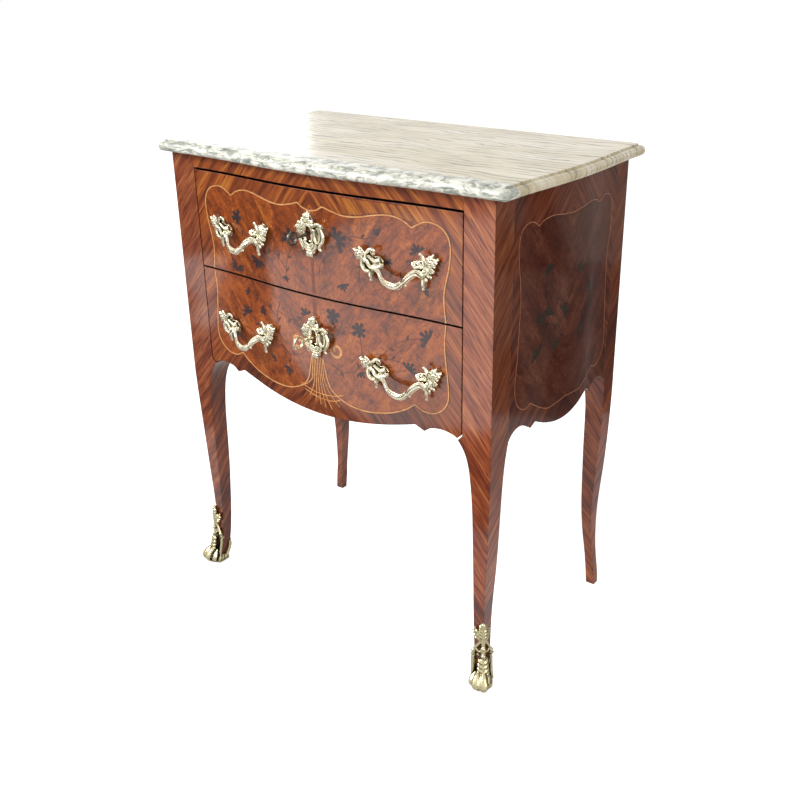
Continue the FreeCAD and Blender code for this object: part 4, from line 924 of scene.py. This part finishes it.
def sweep_tree():
    """A fluted bar along each path, as thick as its radius: inputs Flutes, Depth, Flatness and Finish."""
    tree, inside = path_tree("swept strokes", {"Flutes": "NodeSocketInt", "Depth": "NodeSocketFloat",
                                               "Flatness": "NodeSocketFloat"})
    section = add(tree, "GeometryNodeCurveStar",
                  {"Points": inside["Flutes"], "Inner Radius": inside["Depth"], "Outer Radius": 1.0})
    squash = add(tree, "ShaderNodeCombineXYZ", {"X": 1.0, "Y": inside["Flatness"], "Z": 1.0})
    flat = add(tree, "GeometryNodeTransform", {"Geometry": section.outputs[0], "Scale": squash.outputs[0]})
    sweep(tree, inside, flat.outputs[0])
    return tree


SWEEP_TREE = sweep_tree()


def leaf_strokes(base, middle, tip, breadth, lobes):
    """Strokes of one acanthus leaf: a rib along a bent line, and pairs of lobes that lean to its tip."""
    base, middle, tip = Vector(base), Vector(middle), Vector(tip)

    def along(t):
        return base * (1 - t) ** 2 + 2 * middle * t * (1 - t) + tip * t ** 2

    shares = [k / RIB_STEPS for k in range(RIB_STEPS + 1)]
    strokes = [[(*along(t), breadth * (RIB_TAPER[0] - RIB_TAPER[1] * t)) for t in shares]]
    for k in range(lobes):
        t = LOBE_SPAN[0] + LOBE_SPAN[1] * (k + 0.5) / lobes
        root = along(t)
        ahead = (2 * (1 - t) * (middle - base) + 2 * t * (tip - middle)).normalized()
        reach = breadth * (LOBE_REACH[0] - LOBE_REACH[1] * t)
        for sense in (-1, 1):
            side = Vector((-ahead.y, ahead.x, 0)) * sense
            bulge, end = (root + reach * (a * side + b * ahead) + Vector((0, 0, c * breadth))
                          for a, b, c in (LOBE_BULGE, LOBE_END))
            thick = breadth * LOBE_ROOT_RADIUS
            strokes.append([(*root, thick), (*bulge, thick), (*end, breadth * LOBE_END_RADIUS)])
    return strokes


def all_leaves(leaves):
    """The strokes of several leaves together."""
    return [stroke for leaf in leaves for stroke in leaf_strokes(*leaf)]


def volute(centre, out, first, last, start, turns, thick):
    """One stroke that winds in from the first radius to the last. Start is an angle in degrees."""
    stroke = []
    for k in range(VOLUTE_STEPS + 1):
        t = k / VOLUTE_STEPS
        angle = math.radians(start) + math.tau * turns * t
        radius = first + (last - first) * t
        stroke.append((centre[0] + radius * math.cos(angle), centre[1] + radius * math.sin(angle), out + t,
                       thick * (1 - VOLUTE_TAPER * t)))
    return stroke


def bead(u, v, out, radius):
    """A short upright stroke that swells to a ball."""
    return [(u, v - radius * 0.9, out, radius * 0.45), (u, v - radius * 0.45, out, radius * 0.9),
            (u, v, out, radius),
            (u, v + radius * 0.45, out, radius * 0.9), (u, v + radius * 0.9, out, radius * 0.45)]


def strokes_mesh(name, strokes, flutes, depth, flatness):
    """Strokes swept into one mesh of overlapping bars."""
    runs = []
    for stroke in strokes:
        points = smooth_run(stroke, STROKE_STEPS)
        runs.append([(u, v, out, max(radius, THINNEST_STROKE)) for u, v, out, radius in points])
    values = {"Flutes": flutes, "Depth": depth, "Flatness": flatness, "Finish": GILT}
    return grown(paths_object(name, runs), SWEEP_TREE, values)


def plates_mesh(name, outlines):
    """Flat plates of the given outlines, which back the strokes of a casting."""
    bm = bmesh.new()
    for outline in outlines:
        rim = smooth_run(tuple(outline) + outline[:1], PLATE_STEPS)[:-1]
        face = bm.faces.new([bm.verts.new((*p[:2], 0)) for p in rim])
        for vert in bmesh.ops.extrude_face_region(bm, geom=[face])["geom"]:
            if isinstance(vert, bmesh.types.BMVert):
                vert.co.z = PLATE_THICKNESS
    bmesh.ops.recalc_face_normals(bm, faces=bm.faces)
    bmesh.ops.triangulate(bm, faces=bm.faces)
    return mesh_of(bm, name)


def cast(name, plans, outlines=()):
    """One flat casting from plans of strokes, each with its fluting, and from the outlines of its plates:
    swept, then fused."""
    bm = bmesh.new()
    if outlines:
        take_in(bm, plates_mesh(name + "_plates", outlines))
    for k, (strokes, *fluting) in enumerate(plans):
        take_in(bm, strokes_mesh("%s_strokes_%d" % (name, k), strokes, *fluting))
    thing = new_object(name + "_rough", mesh_of(bm, name + "_rough"))
    fuse = thing.modifiers.new("fuse", "REMESH")
    fuse.mode = "VOXEL"
    fuse.voxel_size = CAST_VOXEL
    return plain_mesh(thing)


def set_casting(name, flat, place, body, node, finish=GILT):
    """A casting set onto its seat, its back cut flat there, in place of a node."""
    bm = bmesh.new()
    bm.from_mesh(flat)
    for vert in bm.verts:
        u, v, out = vert.co
        vert.co = place(u, v, max(out, 0) + CAST_CLEARANCE)
    bmesh.ops.recalc_face_normals(bm, faces=bm.faces)
    for face in bm.faces:
        face.smooth = True
    piece = add_piece(name, mesh_of(bm, name), finish, body)
    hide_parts(node)


# A leaf is (base, middle, tip, breadth, pairs of lobes), with places as (across, up, out). A stroke is
# points as (across, up, out, radius), and so is a bead's one point. A plate is an outline as (across, up).
HANDLE_LEAVES = (
    ((-50, 4, 5), (-62, 9, 8.5), (-73, 16, 4), 10, 3),
    ((-50, 7, 5), (-57, 14, 8.5), (-63.3, 20.5, 4.5), 8, 3),
    ((-52, 2, 5), (-62, 4, 7.5), (-71, 6.5, 4), 8, 2),
    ((-37, -3, 7), (-29, 1, 9), (-27, 9.5, 6), 8, 2),
    ((-37, -4, 7), (-27, -3, 8.5), (-20, 1.5, 6), 7, 2),
    ((50, 8, 6), (57, 17, 9), (63.3, 25.8, 4.5), 9, 3),
    ((52, 7, 6), (62, 14, 9), (71.7, 20, 4.5), 9, 3),
    ((53, 4, 6), (61, 9, 8), (68.3, 13, 4.5), 8, 2),
    ((54, 0, 6), (60, 2, 7.5), (65.5, 2.3, 5), 7, 2),
    ((46, 9, 7), (38, 11, 8.5), (30, 10.5, 6), 7, 2),
)
HANDLE_SCROLLS = (
    ((-50, 4, 7, 2.8), (-49, 11, 8, 3), (-45, 17.5, 9, 3), (-40.3, 20.5, 9, 2.7), (-35.4, 20.2, 9, 2.5),
     (-34, 16, 8, 2.4), (-37.5, 13.5, 7.5, 2.2)),
    ((-54, 6, 7, 3.2), (-56.2, -0.8, 7.5, 3.4), (-54.4, -8.9, 7.5, 3.4), (-48.4, -12.7, 7.5, 3.4),
     (-43, -12, 7.5, 3)),
    ((-48, 4, 8, 3), (-44, -3, 8.5, 3.2), (-38, -6.5, 8.5, 3.4), (-31, -6, 8.5, 3.4), (-24, -3.5, 7.5, 3),
     (-21, 1, 7, 2.4)),
    ((-45, 10, 7.5, 2.8), (-38, 6, 8, 3), (-31, 3.5, 8, 3), (-25, 5, 7, 2.6)),
    ((-43, -13, 6.5, 3.2), (-42.8, -19, 6.5, 3), (-42.1, -24, 5.5, 2.6)),
    ((44, 6, 7.5, 3), (37, 4.5, 8.5, 3), (31.5, 7, 8, 2.6), (30, 11, 6, 2)),
    ((50, 6, 7.5, 3), (49.5, 14, 9, 3), (48, 20.5, 9, 2.8), (44.5, 25, 8.5, 2.5), (41.5, 23.5, 8, 2.2)),
    ((54, -4, 6.5, 3), (58, -6, 7, 2.8), (60.5, -8, 6, 2.4)),
    ((50, -8, 6.5, 3), (52, -12, 6.5, 2.8), (52.5, -14, 6, 2.4)),
    ((47.5, -10, 6.5, 3.2), (46.5, -18, 6.5, 3), (46.9, -24.5, 5.5, 2.6)),
)
HANDLE_BAIL = (
    ((-38, -5, 7, 3.2), (-31, -8, 9, 3.7), (-26, -10.5, 10, 3.6), (-20.5, -15.7, 13, 3.6),
     (-12.4, -20.3, 18, 4.2), (-1.3, -22.6, 22, 5.2), (9.5, -23.4, 24, 5.4), (17, -20.8, 24, 5.1),
     (22.6, -15.5, 23, 4.4)),
    ((28, -20, 20, 2.8), (25, -17.5, 21.5, 4), (27.1, -11.8, 21, 5), (32.8, -5.6, 18, 5.6),
     (39.6, -1.6, 14, 5.6), (45.7, -4, 11, 5), (48.5, -9, 9, 3.6)),
)
# Centre, out, first and last radius, start in degrees, turns, thickness
HANDLE_VOLUTE = ((49.5, 0.5), 7.5, 7.6, 3.4, 250, -1.2, 2.9)
HANDLE_BEADS = ((-49, 3, 9, 3.8), (-42.2, -25, 5.5, 3), (49.5, 0.5, 9, 3.2), (46.9, -25, 5.5, 3))
HANDLE_PLATES = (
    ((-58, 6), (-46, 3), (-43, 2), (-36, -2), (-27, -1), (-22, -1), (-23, -7), (-31, -9), (-38, -13),
     (-42, -22), (-45, -22), (-45, -15), (-54, -11), (-59, -3)),
    ((-74, 15), (-70, 18), (-68, 14), (-63, 20), (-60, 16), (-54, 13), (-50, 15), (-46, 18), (-43, 14),
     (-38, 9), (-30, 10), (-24, 6), (-22, 1), (-33, 2), (-43, 6), (-52, 3), (-60, 3), (-70, 5)),
    ((28, 11), (36, 13), (43, 14), (45, 20), (49, 19), (54, 22), (61, 24), (64, 20), (70, 21), (66, 13),
     (62, 9), (62, 2), (57, -6), (50, -12), (43, -8), (38, -2), (31, 2)),
)
HANDLE_PLACES = {("top", "left"): (-158, 669), ("top", "right"): (158, 669),
                 ("bottom", "left"): (-158, 506), ("bottom", "right"): (162.5, 501.5)}
HANDLE_REACH = 48.0
HANDLE_HALF_WIDTH = 75
HANDLE_STEP = 5


def handle_place(x, z):
    """How a point of the flat handle sits on the front: turned to its slope and clear of its swell."""
    def front(at):
        return ARRIS_Y - swell(at, HALF_OPENING, FRONT_BOW)
    slope = math.atan2(front(x + HANDLE_REACH) - front(x - HANDLE_REACH), 2 * HANDLE_REACH)
    run = Vector((math.cos(slope), math.sin(slope), 0))
    out = Vector((math.sin(slope), -math.cos(slope), 0))
    along = range(-HANDLE_HALF_WIDTH, HANDLE_HALF_WIDTH + 1, HANDLE_STEP)
    lead = max(front(x) + u * run.y - front(x + u * run.x) for u in along)
    seat = Vector((x, front(x) - max(lead, 0), z))
    return lambda u, v, w: (seat + u * run + v * Vector((0, 0, 1)) + w * out) * MM


def set_handles():
    """One casting, set four times."""
    leaves = all_leaves(HANDLE_LEAVES)
    scrolls = list(HANDLE_SCROLLS) + [bead(*place) for place in HANDLE_BEADS]
    scrolls.append(volute(*HANDLE_VOLUTE))
    plans = ((leaves, *LEAF_FLUTING), (scrolls, *SCROLL_FLUTING), (HANDLE_BAIL, *BAIL_FLUTING))
    flat = cast("handle", plans, HANDLE_PLATES)
    for (level, side), spot in HANDLE_PLACES.items():
        set_casting("%s_%s_cast_handle" % (level, side), flat, handle_place(*spot), level + "_drawer",
                    "%s_%s_handle" % (level, side))


ESCUTCHEON_LEAVES = (
    ((-1, 14, 5), (-1, 24, 8), (-0.5, 34, 4.5), 10, 4),
    ((-3, 12, 5), (-9, 18, 8), (-11, 24, 5), 8, 2),
    ((-5, 11, 5), (-14, 14, 8), (-22, 14, 5), 9, 3),
    ((-6, 8, 5), (-16, 9, 8), (-27, 7, 5), 9, 3),
    ((-7, 4, 5), (-15, 3, 7.5), (-24, 0, 5), 8, 3),
    ((4, 12, 5), (8, 17, 8), (9, 22, 5), 8, 2),
    ((1, -26, 5), (0, -31, 7), (-7, -34.5, 4), 8, 2),
    ((3, -26, 5), (4, -31, 7), (3, -35.5, 4), 8, 2),
    ((5, -25, 5), (9, -27, 7), (12, -25.5, 4), 6, 2),
)
ESCUTCHEON_SCROLLS = (
    ((-19, -6, 5.5, 2.8), (-16, -11, 6.5, 3), (-12.5, -16, 6.5, 3), (-11, -21, 6, 2.8),
     (-13, -25.5, 5, 2.4)),
    ((-6, 11, 5, 2.6), (-7.4, 4, 5.5, 2.6), (-7.4, -6, 5.5, 2.6), (-5.5, -11, 5.5, 2.6)),
    ((5, 11, 5, 2.6), (7.6, 5, 5.5, 2.6), (7.6, -6, 5.5, 2.6), (6.5, -11, 5.5, 2.6)),
    ((-6, 11.5, 5, 2.8), (0, 13.5, 5.5, 2.8), (6, 11.5, 5, 2.8)),
    ((9, 11, 6, 2.8), (15, 15, 7, 3), (21, 17, 7.5, 3), (26.5, 15.5, 7.5, 2.8), (26, 11, 7.5, 2.6),
     (20, 10, 7, 2.6)),
    ((25, 11, 6.5, 2.8), (29, 4, 7, 3), (31, -2, 7, 3), (28.5, -9, 7, 3), (24, -14, 6.5, 2.8),
     (21.5, -19, 6, 2.6), (25, -23, 5, 2.4)),
    ((12, 8, 6, 2.8), (12.5, 0, 6.5, 2.8), (14, -8, 6.5, 2.8), (18, -13, 6.5, 2.8)),
    ((22, 8, 6, 2.6), (24, 2, 6.5, 2.6), (24, -5, 6.5, 2.6), (20, -12, 6.5, 2.6)),
    ((-14, -13, 5.5, 2.6), (-8, -12, 6, 2.8), (-5, -10, 6, 2.6)),
)
ESCUTCHEON_BEAD = (-3.8, 27, 6.5, 4)
# The ribs of the shell: half rings round its middle, each lower than the one inside it
ESCUTCHEON_SHELL = (2.5, -13)
ESCUTCHEON_SHELL_RADII = (4, 8.2, 12.6)
SHELL_STAND = 8.5
SHELL_FALL = 0.2
SHELL_RIB = 2.2
SHELL_STEPS = 8
ESCUTCHEON_PLATES = (
    ((-0.5, 32), (-5, 28), (-10, 21), (-19, 15), (-26, 8), (-24, 1), (-18, -5), (-16, -11), (-12, -17),
     (-12, -24), (-8, -20), (-6, -14), (-6, -6), (-6, 8), (0, 13), (6, 14), (9, 20), (4, 26), (3, 31)),
    ((-6, -12), (0, -11), (6, -11), (8, -5), (8, 10), (6, 14), (10, 13), (14, 14), (15, 5), (18, -8),
     (15, -20), (8, -28), (4, -34), (-2, -35), (-8, -33), (-1, -28), (-5, -22)),
    ((10, 10), (20, 15), (26, 14), (28, 7), (31, -1), (26, -9), (22, -15), (24, -21), (19, -19), (14, -18),
     (12, -12), (20, -9), (20, -5), (16, 5)),
)
KEYHOLE_HEIGHTS = {"top": 694.5, "bottom": 531.5}


def escutcheon_place(z):
    """How a point of the flat escutcheon sits on the crown of the front."""
    seat = Vector((0, ARRIS_Y - FRONT_BOW, z))
    return lambda u, v, w: (seat + Vector((u, -w, v))) * MM


def set_escutcheons():
    """One casting with a ribbed shell under its keyhole, set twice."""
    leaves = all_leaves(ESCUTCHEON_LEAVES)
    scrolls = list(ESCUTCHEON_SCROLLS) + [bead(*ESCUTCHEON_BEAD)]
    u, v = ESCUTCHEON_SHELL
    turns = [math.pi * k / SHELL_STEPS for k in range(SHELL_STEPS, 2 * SHELL_STEPS + 1)]
    for radius in ESCUTCHEON_SHELL_RADII:
        out = SHELL_STAND - SHELL_FALL * radius
        ring = [(u + radius * math.cos(a), v + radius * math.sin(a)) for a in turns]
        scrolls.append([(*point, out, SHELL_RIB) for point in ring])
    flat = cast("escutcheon", ((leaves, *LEAF_FLUTING), (scrolls, *SCROLL_FLUTING)), ESCUTCHEON_PLATES)
    for level, z in KEYHOLE_HEIGHTS.items():
        set_casting(level + "_cast_escutcheon", flat, escutcheon_place(z), level + "_drawer",
                    level + "_escutcheon")


SABOT_LEAVES = (((0, 82, 4.5), (0, 102, 7), (0, 116, 4), 12, 4),
                ((0, 16, 9), (0, 36, 9), (0, 60, 6), 14, 4),
                ((3, 82, 4), (8, 91, 6.5), (11, 103, 3.5), 9, 2),
                ((-4, 83, 4.5), (-10, 92, 7), (-14, 105, 4), 10, 3))
SABOT_STRAP = ((2, 84, 4, 2.6), (7, 76, 4.4, 2.4), (12, 68, 4.6, 2.6), (15.5, 60, 4.8, 2.6),
               (17.5, 46, 4.8, 2.4), (17.5, 32, 5, 2.4), (17.5, 20, 5, 2.6), (18, 10, 5, 3))
SABOT_WEB = ((7, 76, 2, 2), (12, 68, 2, 2), (15.5, 60, 2, 2), (17.5, 46, 2, 2), (17.5, 32, 2, 2),
             (17.5, 12, 2, 2))
SABOT_REAR = ((30, 4, 2, 3.4), (36, 14, 2.6, 3.2), (39, 26, 3, 3), (38, 36, 3.4, 2.8), (35, 39, 3, 2.4))
SABOT_RIB = ((0, 86, 4, 3.4), (0, 72, 4.5, 3.2), (0, 56, 4.5, 3.4), (0, 30, 4, 4), (0, 12, 4, 4))
SABOT_TIES = (((-12, 67, 5, 2), (-6, 63, 5, 1.8), (0, 68, 6, 2)),
              ((12, 67, 5, 2), (6, 63, 5, 1.8), (0, 68, 6, 2)))
SABOT_BEADS = ((0, 112, 4.5, 4.6), (0, 70, 6.5, 3.6), (0, 57, 7, 3.4), (-15, 62, 6, 3.2), (15, 62, 6, 3.2))
# The lobes round the foot: pitch, and how far the base stands and rises, most at the toe
SABOT_LOBES = 13
SABOT_LOBE_PITCH = 6.2
SABOT_TOE = -3.0
SABOT_TOE_STAND = 20.5
SABOT_TOE_SPREAD = 13.0
SABOT_RIM_STAND = 2.0
SABOT_LOBE_LIFT = 8.0
SABOT_TOE_LIFT = 17.0
SABOT_LIFT_SPREAD = 15.0
SABOT_RING_STEP = 3.0
SABOT_RING_STEPS = 14
# How a flat shoe wraps: girth for one radian, the turn of its middle, and the steps its seat is eased over
SABOT_GIRTH = 14.0
SABOT_LEAN = math.radians(-51)
SABOT_EASE = (-2.0, -1.0, 0.0, 1.0, 2.0)
SABOT_STEPS_PER_MM = 4
SABOT_LOWEST_SEAT = 1.0
SABOT_FLOOR_GAP = 0.2
# A point inside each front leg, in from the width and behind the arris, and where rays start, in metres
LEG_CORE = (11.0, 5.0)
WIDTH_RAY = 0.2
RIM_RAY = 0.1


def toe_stand(t):
    """How far the base of a shoe stands out from the foot: most of all at the toe."""
    return SABOT_RIM_STAND + SABOT_TOE_STAND * math.exp(-((t - SABOT_TOE) / SABOT_TOE_SPREAD) ** 2)


def leg_place(mirror):
    """How a point (round from the outer arris, up, out) of a flat shoe wraps round a front foot."""
    leg = NODES["front_left_leg" if mirror else "front_right_leg"]
    verts = [leg.matrix_world @ vert.co for vert in leg.data.vertices]
    tree = BVHTree.FromPolygons(verts, [face.vertices for face in leg.data.polygons])
    sense = -1 if mirror else 1
    middles = {}
    rims = {}

    def aim_at(step):
        turn = SABOT_LEAN + step / SABOT_GIRTH
        return Vector((sense * math.cos(turn), math.sin(turn), 0))

    def middle(z):
        if z not in middles:
            spot = Vector((sense * (HALF_WIDTH - LEG_CORE[0]), ARRIS_Y + LEG_CORE[1], z)) * MM
            for axis in ((0, 1, 0), (1, 0, 0), (0, 1, 0)):
                away = Vector(axis) * WIDTH_RAY
                near, far = (tree.ray_cast(spot + way, -way)[0] for way in (away, -away))
                spot = (near + far) / 2
            middles[z] = spot
        return middles[z]

    def radius(level, step):
        if (level, step) not in rims:
            aim = aim_at(step)
            core = middle(level)
            rims[level, step] = (tree.ray_cast(core + aim * RIM_RAY, -aim)[0] - core).length
        return rims[level, step]

    def place(t, z, out):
        level = round(max(z, SABOT_LOWEST_SEAT))
        step = round(t * SABOT_STEPS_PER_MM) / SABOT_STEPS_PER_MM
        reach = sum(radius(level, step + ease) for ease in SABOT_EASE) / len(SABOT_EASE)
        spot = middle(level) + aim_at(step) * (reach + out * MM)
        spot.z = max(z, SABOT_FLOOR_GAP) * MM
        return spot
    return place


def sabot_lobes():
    """The lobes that fan round the foot, tallest at the toe."""
    strokes = []
    for k in range(SABOT_LOBES):
        t = (k - (SABOT_LOBES - 1) / 2) * SABOT_LOBE_PITCH
        stand = toe_stand(t)
        rise = math.exp(-((t - SABOT_TOE) / SABOT_LIFT_SPREAD) ** 2)
        lift = SABOT_LOBE_LIFT + SABOT_TOE_LIFT * rise
        strokes.append([(t * 0.92, lift + 6, stand * 0.35, 2.2), (t * 0.97, lift, stand * 0.75, 3),
                        (t, lift * 0.4 + 4, stand, 3.4), (t, 6, stand * 0.72, 3), (t, 3, stand * 0.5, 2.6)])
    return strokes


def set_sabots():
    """One flat shoe, wrapped round each front foot."""
    leaves = all_leaves(SABOT_LEAVES)
    scrolls = [SABOT_RIB] + list(SABOT_TIES) + [bead(*place) for place in SABOT_BEADS]
    for sense in (-1, 1):
        for stroke in (SABOT_STRAP, SABOT_WEB, SABOT_REAR):
            scrolls.append([(sense * t, z, out, r) for t, z, out, r in stroke])
    ring = [k * SABOT_RING_STEP for k in range(-SABOT_RING_STEPS, SABOT_RING_STEPS + 1)]
    scrolls.append([(t, 2, 1 + toe_stand(t) * 0.3, 3) for t in ring])
    scrolls += sabot_lobes()
    flat = cast("sabot", ((leaves, *LEAF_FLUTING), (scrolls, *SABOT_FLUTING)))
    for side in ("left", "right"):
        set_casting(side + "_cast_sabot", flat, leg_place(side == "left"), "carcase", side + "_sabot",
                    SHOE_GILT)


# Studio


def studio_white(name, glow, gloss, colour):
    """Matt white paper that takes a shadow, with the glow that lifts it to white for the lens and for
    glass, and the dimmer one that metal and polish mirror."""
    material = bpy.data.materials.new(name)
    tree = cleared_tree(material)
    path = add(tree, "ShaderNodeLightPath").outputs
    seen = add(tree, "ShaderNodeMath", {0: path["Is Camera Ray"], 1: path["Is Transmission Ray"]},
               operation="ADD", use_clamp=True).outputs[0]
    strength = add(tree, "ShaderNodeMath", {0: seen, 1: glow}, operation="MULTIPLY").outputs[0]
    strength = add(tree, "ShaderNodeMath", {0: path["Is Glossy Ray"], 1: gloss, 2: strength},
                   operation="MULTIPLY_ADD").outputs[0]
    paper = add(tree, "ShaderNodeBsdfDiffuse", {"Color": linear(colour)}).outputs[0]
    light = add(tree, "ShaderNodeEmission", {"Color": (1, 1, 1, 1), "Strength": strength}).outputs[0]
    both = add(tree, "ShaderNodeAddShader", {0: paper, 1: light}).outputs[0]
    add(tree, "ShaderNodeOutputMaterial", {"Surface": both})
    return material


def room_finish(name, dark, light, strength=1.0):
    """What polished wood mirrors beyond the paper: a dim furnished room, its paler wall, or the sunlit
    floor by a window."""
    material = bpy.data.materials.new(name)
    tree = cleared_tree(material)
    place = add(tree, "ShaderNodeTexCoord").outputs["Object"]
    patch = add(tree, "ShaderNodeTexNoise", {"Vector": place, "Scale": 1 / 0.35, "Detail": 2.0}).outputs[0]
    colour = add(tree, "ShaderNodeValToRGB", {0: patch}, stops=((0.4, dark), (0.62, light))).outputs[0]
    glow = add(tree, "ShaderNodeEmission", {"Color": colour, "Strength": strength}).outputs[0]
    add(tree, "ShaderNodeOutputMaterial", {"Surface": glow})
    return material


def set_room():
    """Screens that only gloss mirrors: they neither show to the lens nor shade or light the piece."""
    finishes = {"dim": room_finish("dim_room", "#120D0A", "#6E5C51"),
                "pale": room_finish("pale_wall", "#70665E", "#8B8077"),
                "sunlit": room_finish("sunlit_floor", "#F4F4F4", "#FFFFFF", 1.9)}
    for name, finish, corners in ROOM_SCREENS:
        mesh = bpy.data.meshes.new(name)
        mesh.from_pydata(corners, [], [range(len(corners))])
        mesh.materials.append(finishes[finish])
        screen = new_object(name, mesh)
        screen.visible_camera = False
        screen.visible_diffuse = False
        screen.visible_shadow = False
        screen.visible_transmission = False


def set_floor():
    """A wide sheet of white paper under the piece."""
    bpy.ops.mesh.primitive_plane_add(size=FLOOR_SIZE, location=(0, 0, 0))
    floor = bpy.context.object
    floor.name = "floor"
    floor.data.materials.append(studio_white("studio_floor", FLOOR_GLOW, FLOOR_GLOSS, FLOOR_COLOUR))


def set_world():
    """Pale light all round, which shows as white to the lens, to gloss and to glass."""
    world = bpy.data.worlds.new("studio")
    bpy.context.scene.world = world
    tree = cleared_tree(world)
    path = add(tree, "ShaderNodeLightPath").outputs
    seen = add(tree, "ShaderNodeMath", {0: path["Is Camera Ray"], 1: path["Is Glossy Ray"]},
               operation="ADD").outputs[0]
    seen = add(tree, "ShaderNodeMath", {0: seen, 1: path["Is Transmission Ray"]}, operation="ADD",
               use_clamp=True).outputs[0]
    strength = add(tree, "ShaderNodeMapRange", {"Value": seen, "To Min": 0.3, "To Max": 1.0}).outputs[0]
    sky = add(tree, "ShaderNodeBackground", {"Color": (1, 1, 1, 1), "Strength": strength})
    add(tree, "ShaderNodeOutputWorld", {"Surface": sky.outputs[0]})


def set_lamp(name, place, target, size, power):
    """A square soft lamp aimed at a target."""
    lamp = bpy.data.lights.new(name, "AREA")
    lamp.size = size
    lamp.energy = power
    thing = new_object(name, lamp)
    thing.location = place
    thing.rotation_euler = (Vector(target) - Vector(place)).to_track_quat("-Z", "Y").to_euler()


def set_camera():
    """The photograph's pinhole: turned from the front, dipped and rolled."""
    turn, dip, roll = (math.radians(a) for a in (CAMERA_TURN, CAMERA_DIP, CAMERA_ROLL))
    ahead = Vector((-math.sin(turn) * math.cos(dip), math.cos(turn) * math.cos(dip), -math.sin(dip)))
    right = ahead.cross(Vector((0, 0, 1))).normalized()
    up = right.cross(ahead)
    right, up = right * math.cos(roll) + up * math.sin(roll), up * math.cos(roll) - right * math.sin(roll)
    lens = bpy.data.cameras.new("camera")
    lens.lens = CAMERA_LENS
    lens.sensor_width = SENSOR_WIDTH
    lens.clip_end = CAMERA_SIGHT
    camera = new_object("camera", lens)
    camera.matrix_world = Matrix.Translation(CAMERA_PLACE) @ Matrix((right, up,
                                                                     -ahead)).transposed().to_4x4()
    bpy.context.scene.camera = camera


def set_studio():
    """Floor, world, mirrored room, lamps and camera."""
    set_floor()
    set_world()
    set_room()
    for lamp in LAMPS:
        set_lamp(*lamp)
    set_camera()
    bpy.context.scene.view_settings.view_transform = "Standard"


dress_nodes()
inlay_fronts()
inlay_sides()
set_handles()
set_escutcheons()
set_sabots()
set_studio()
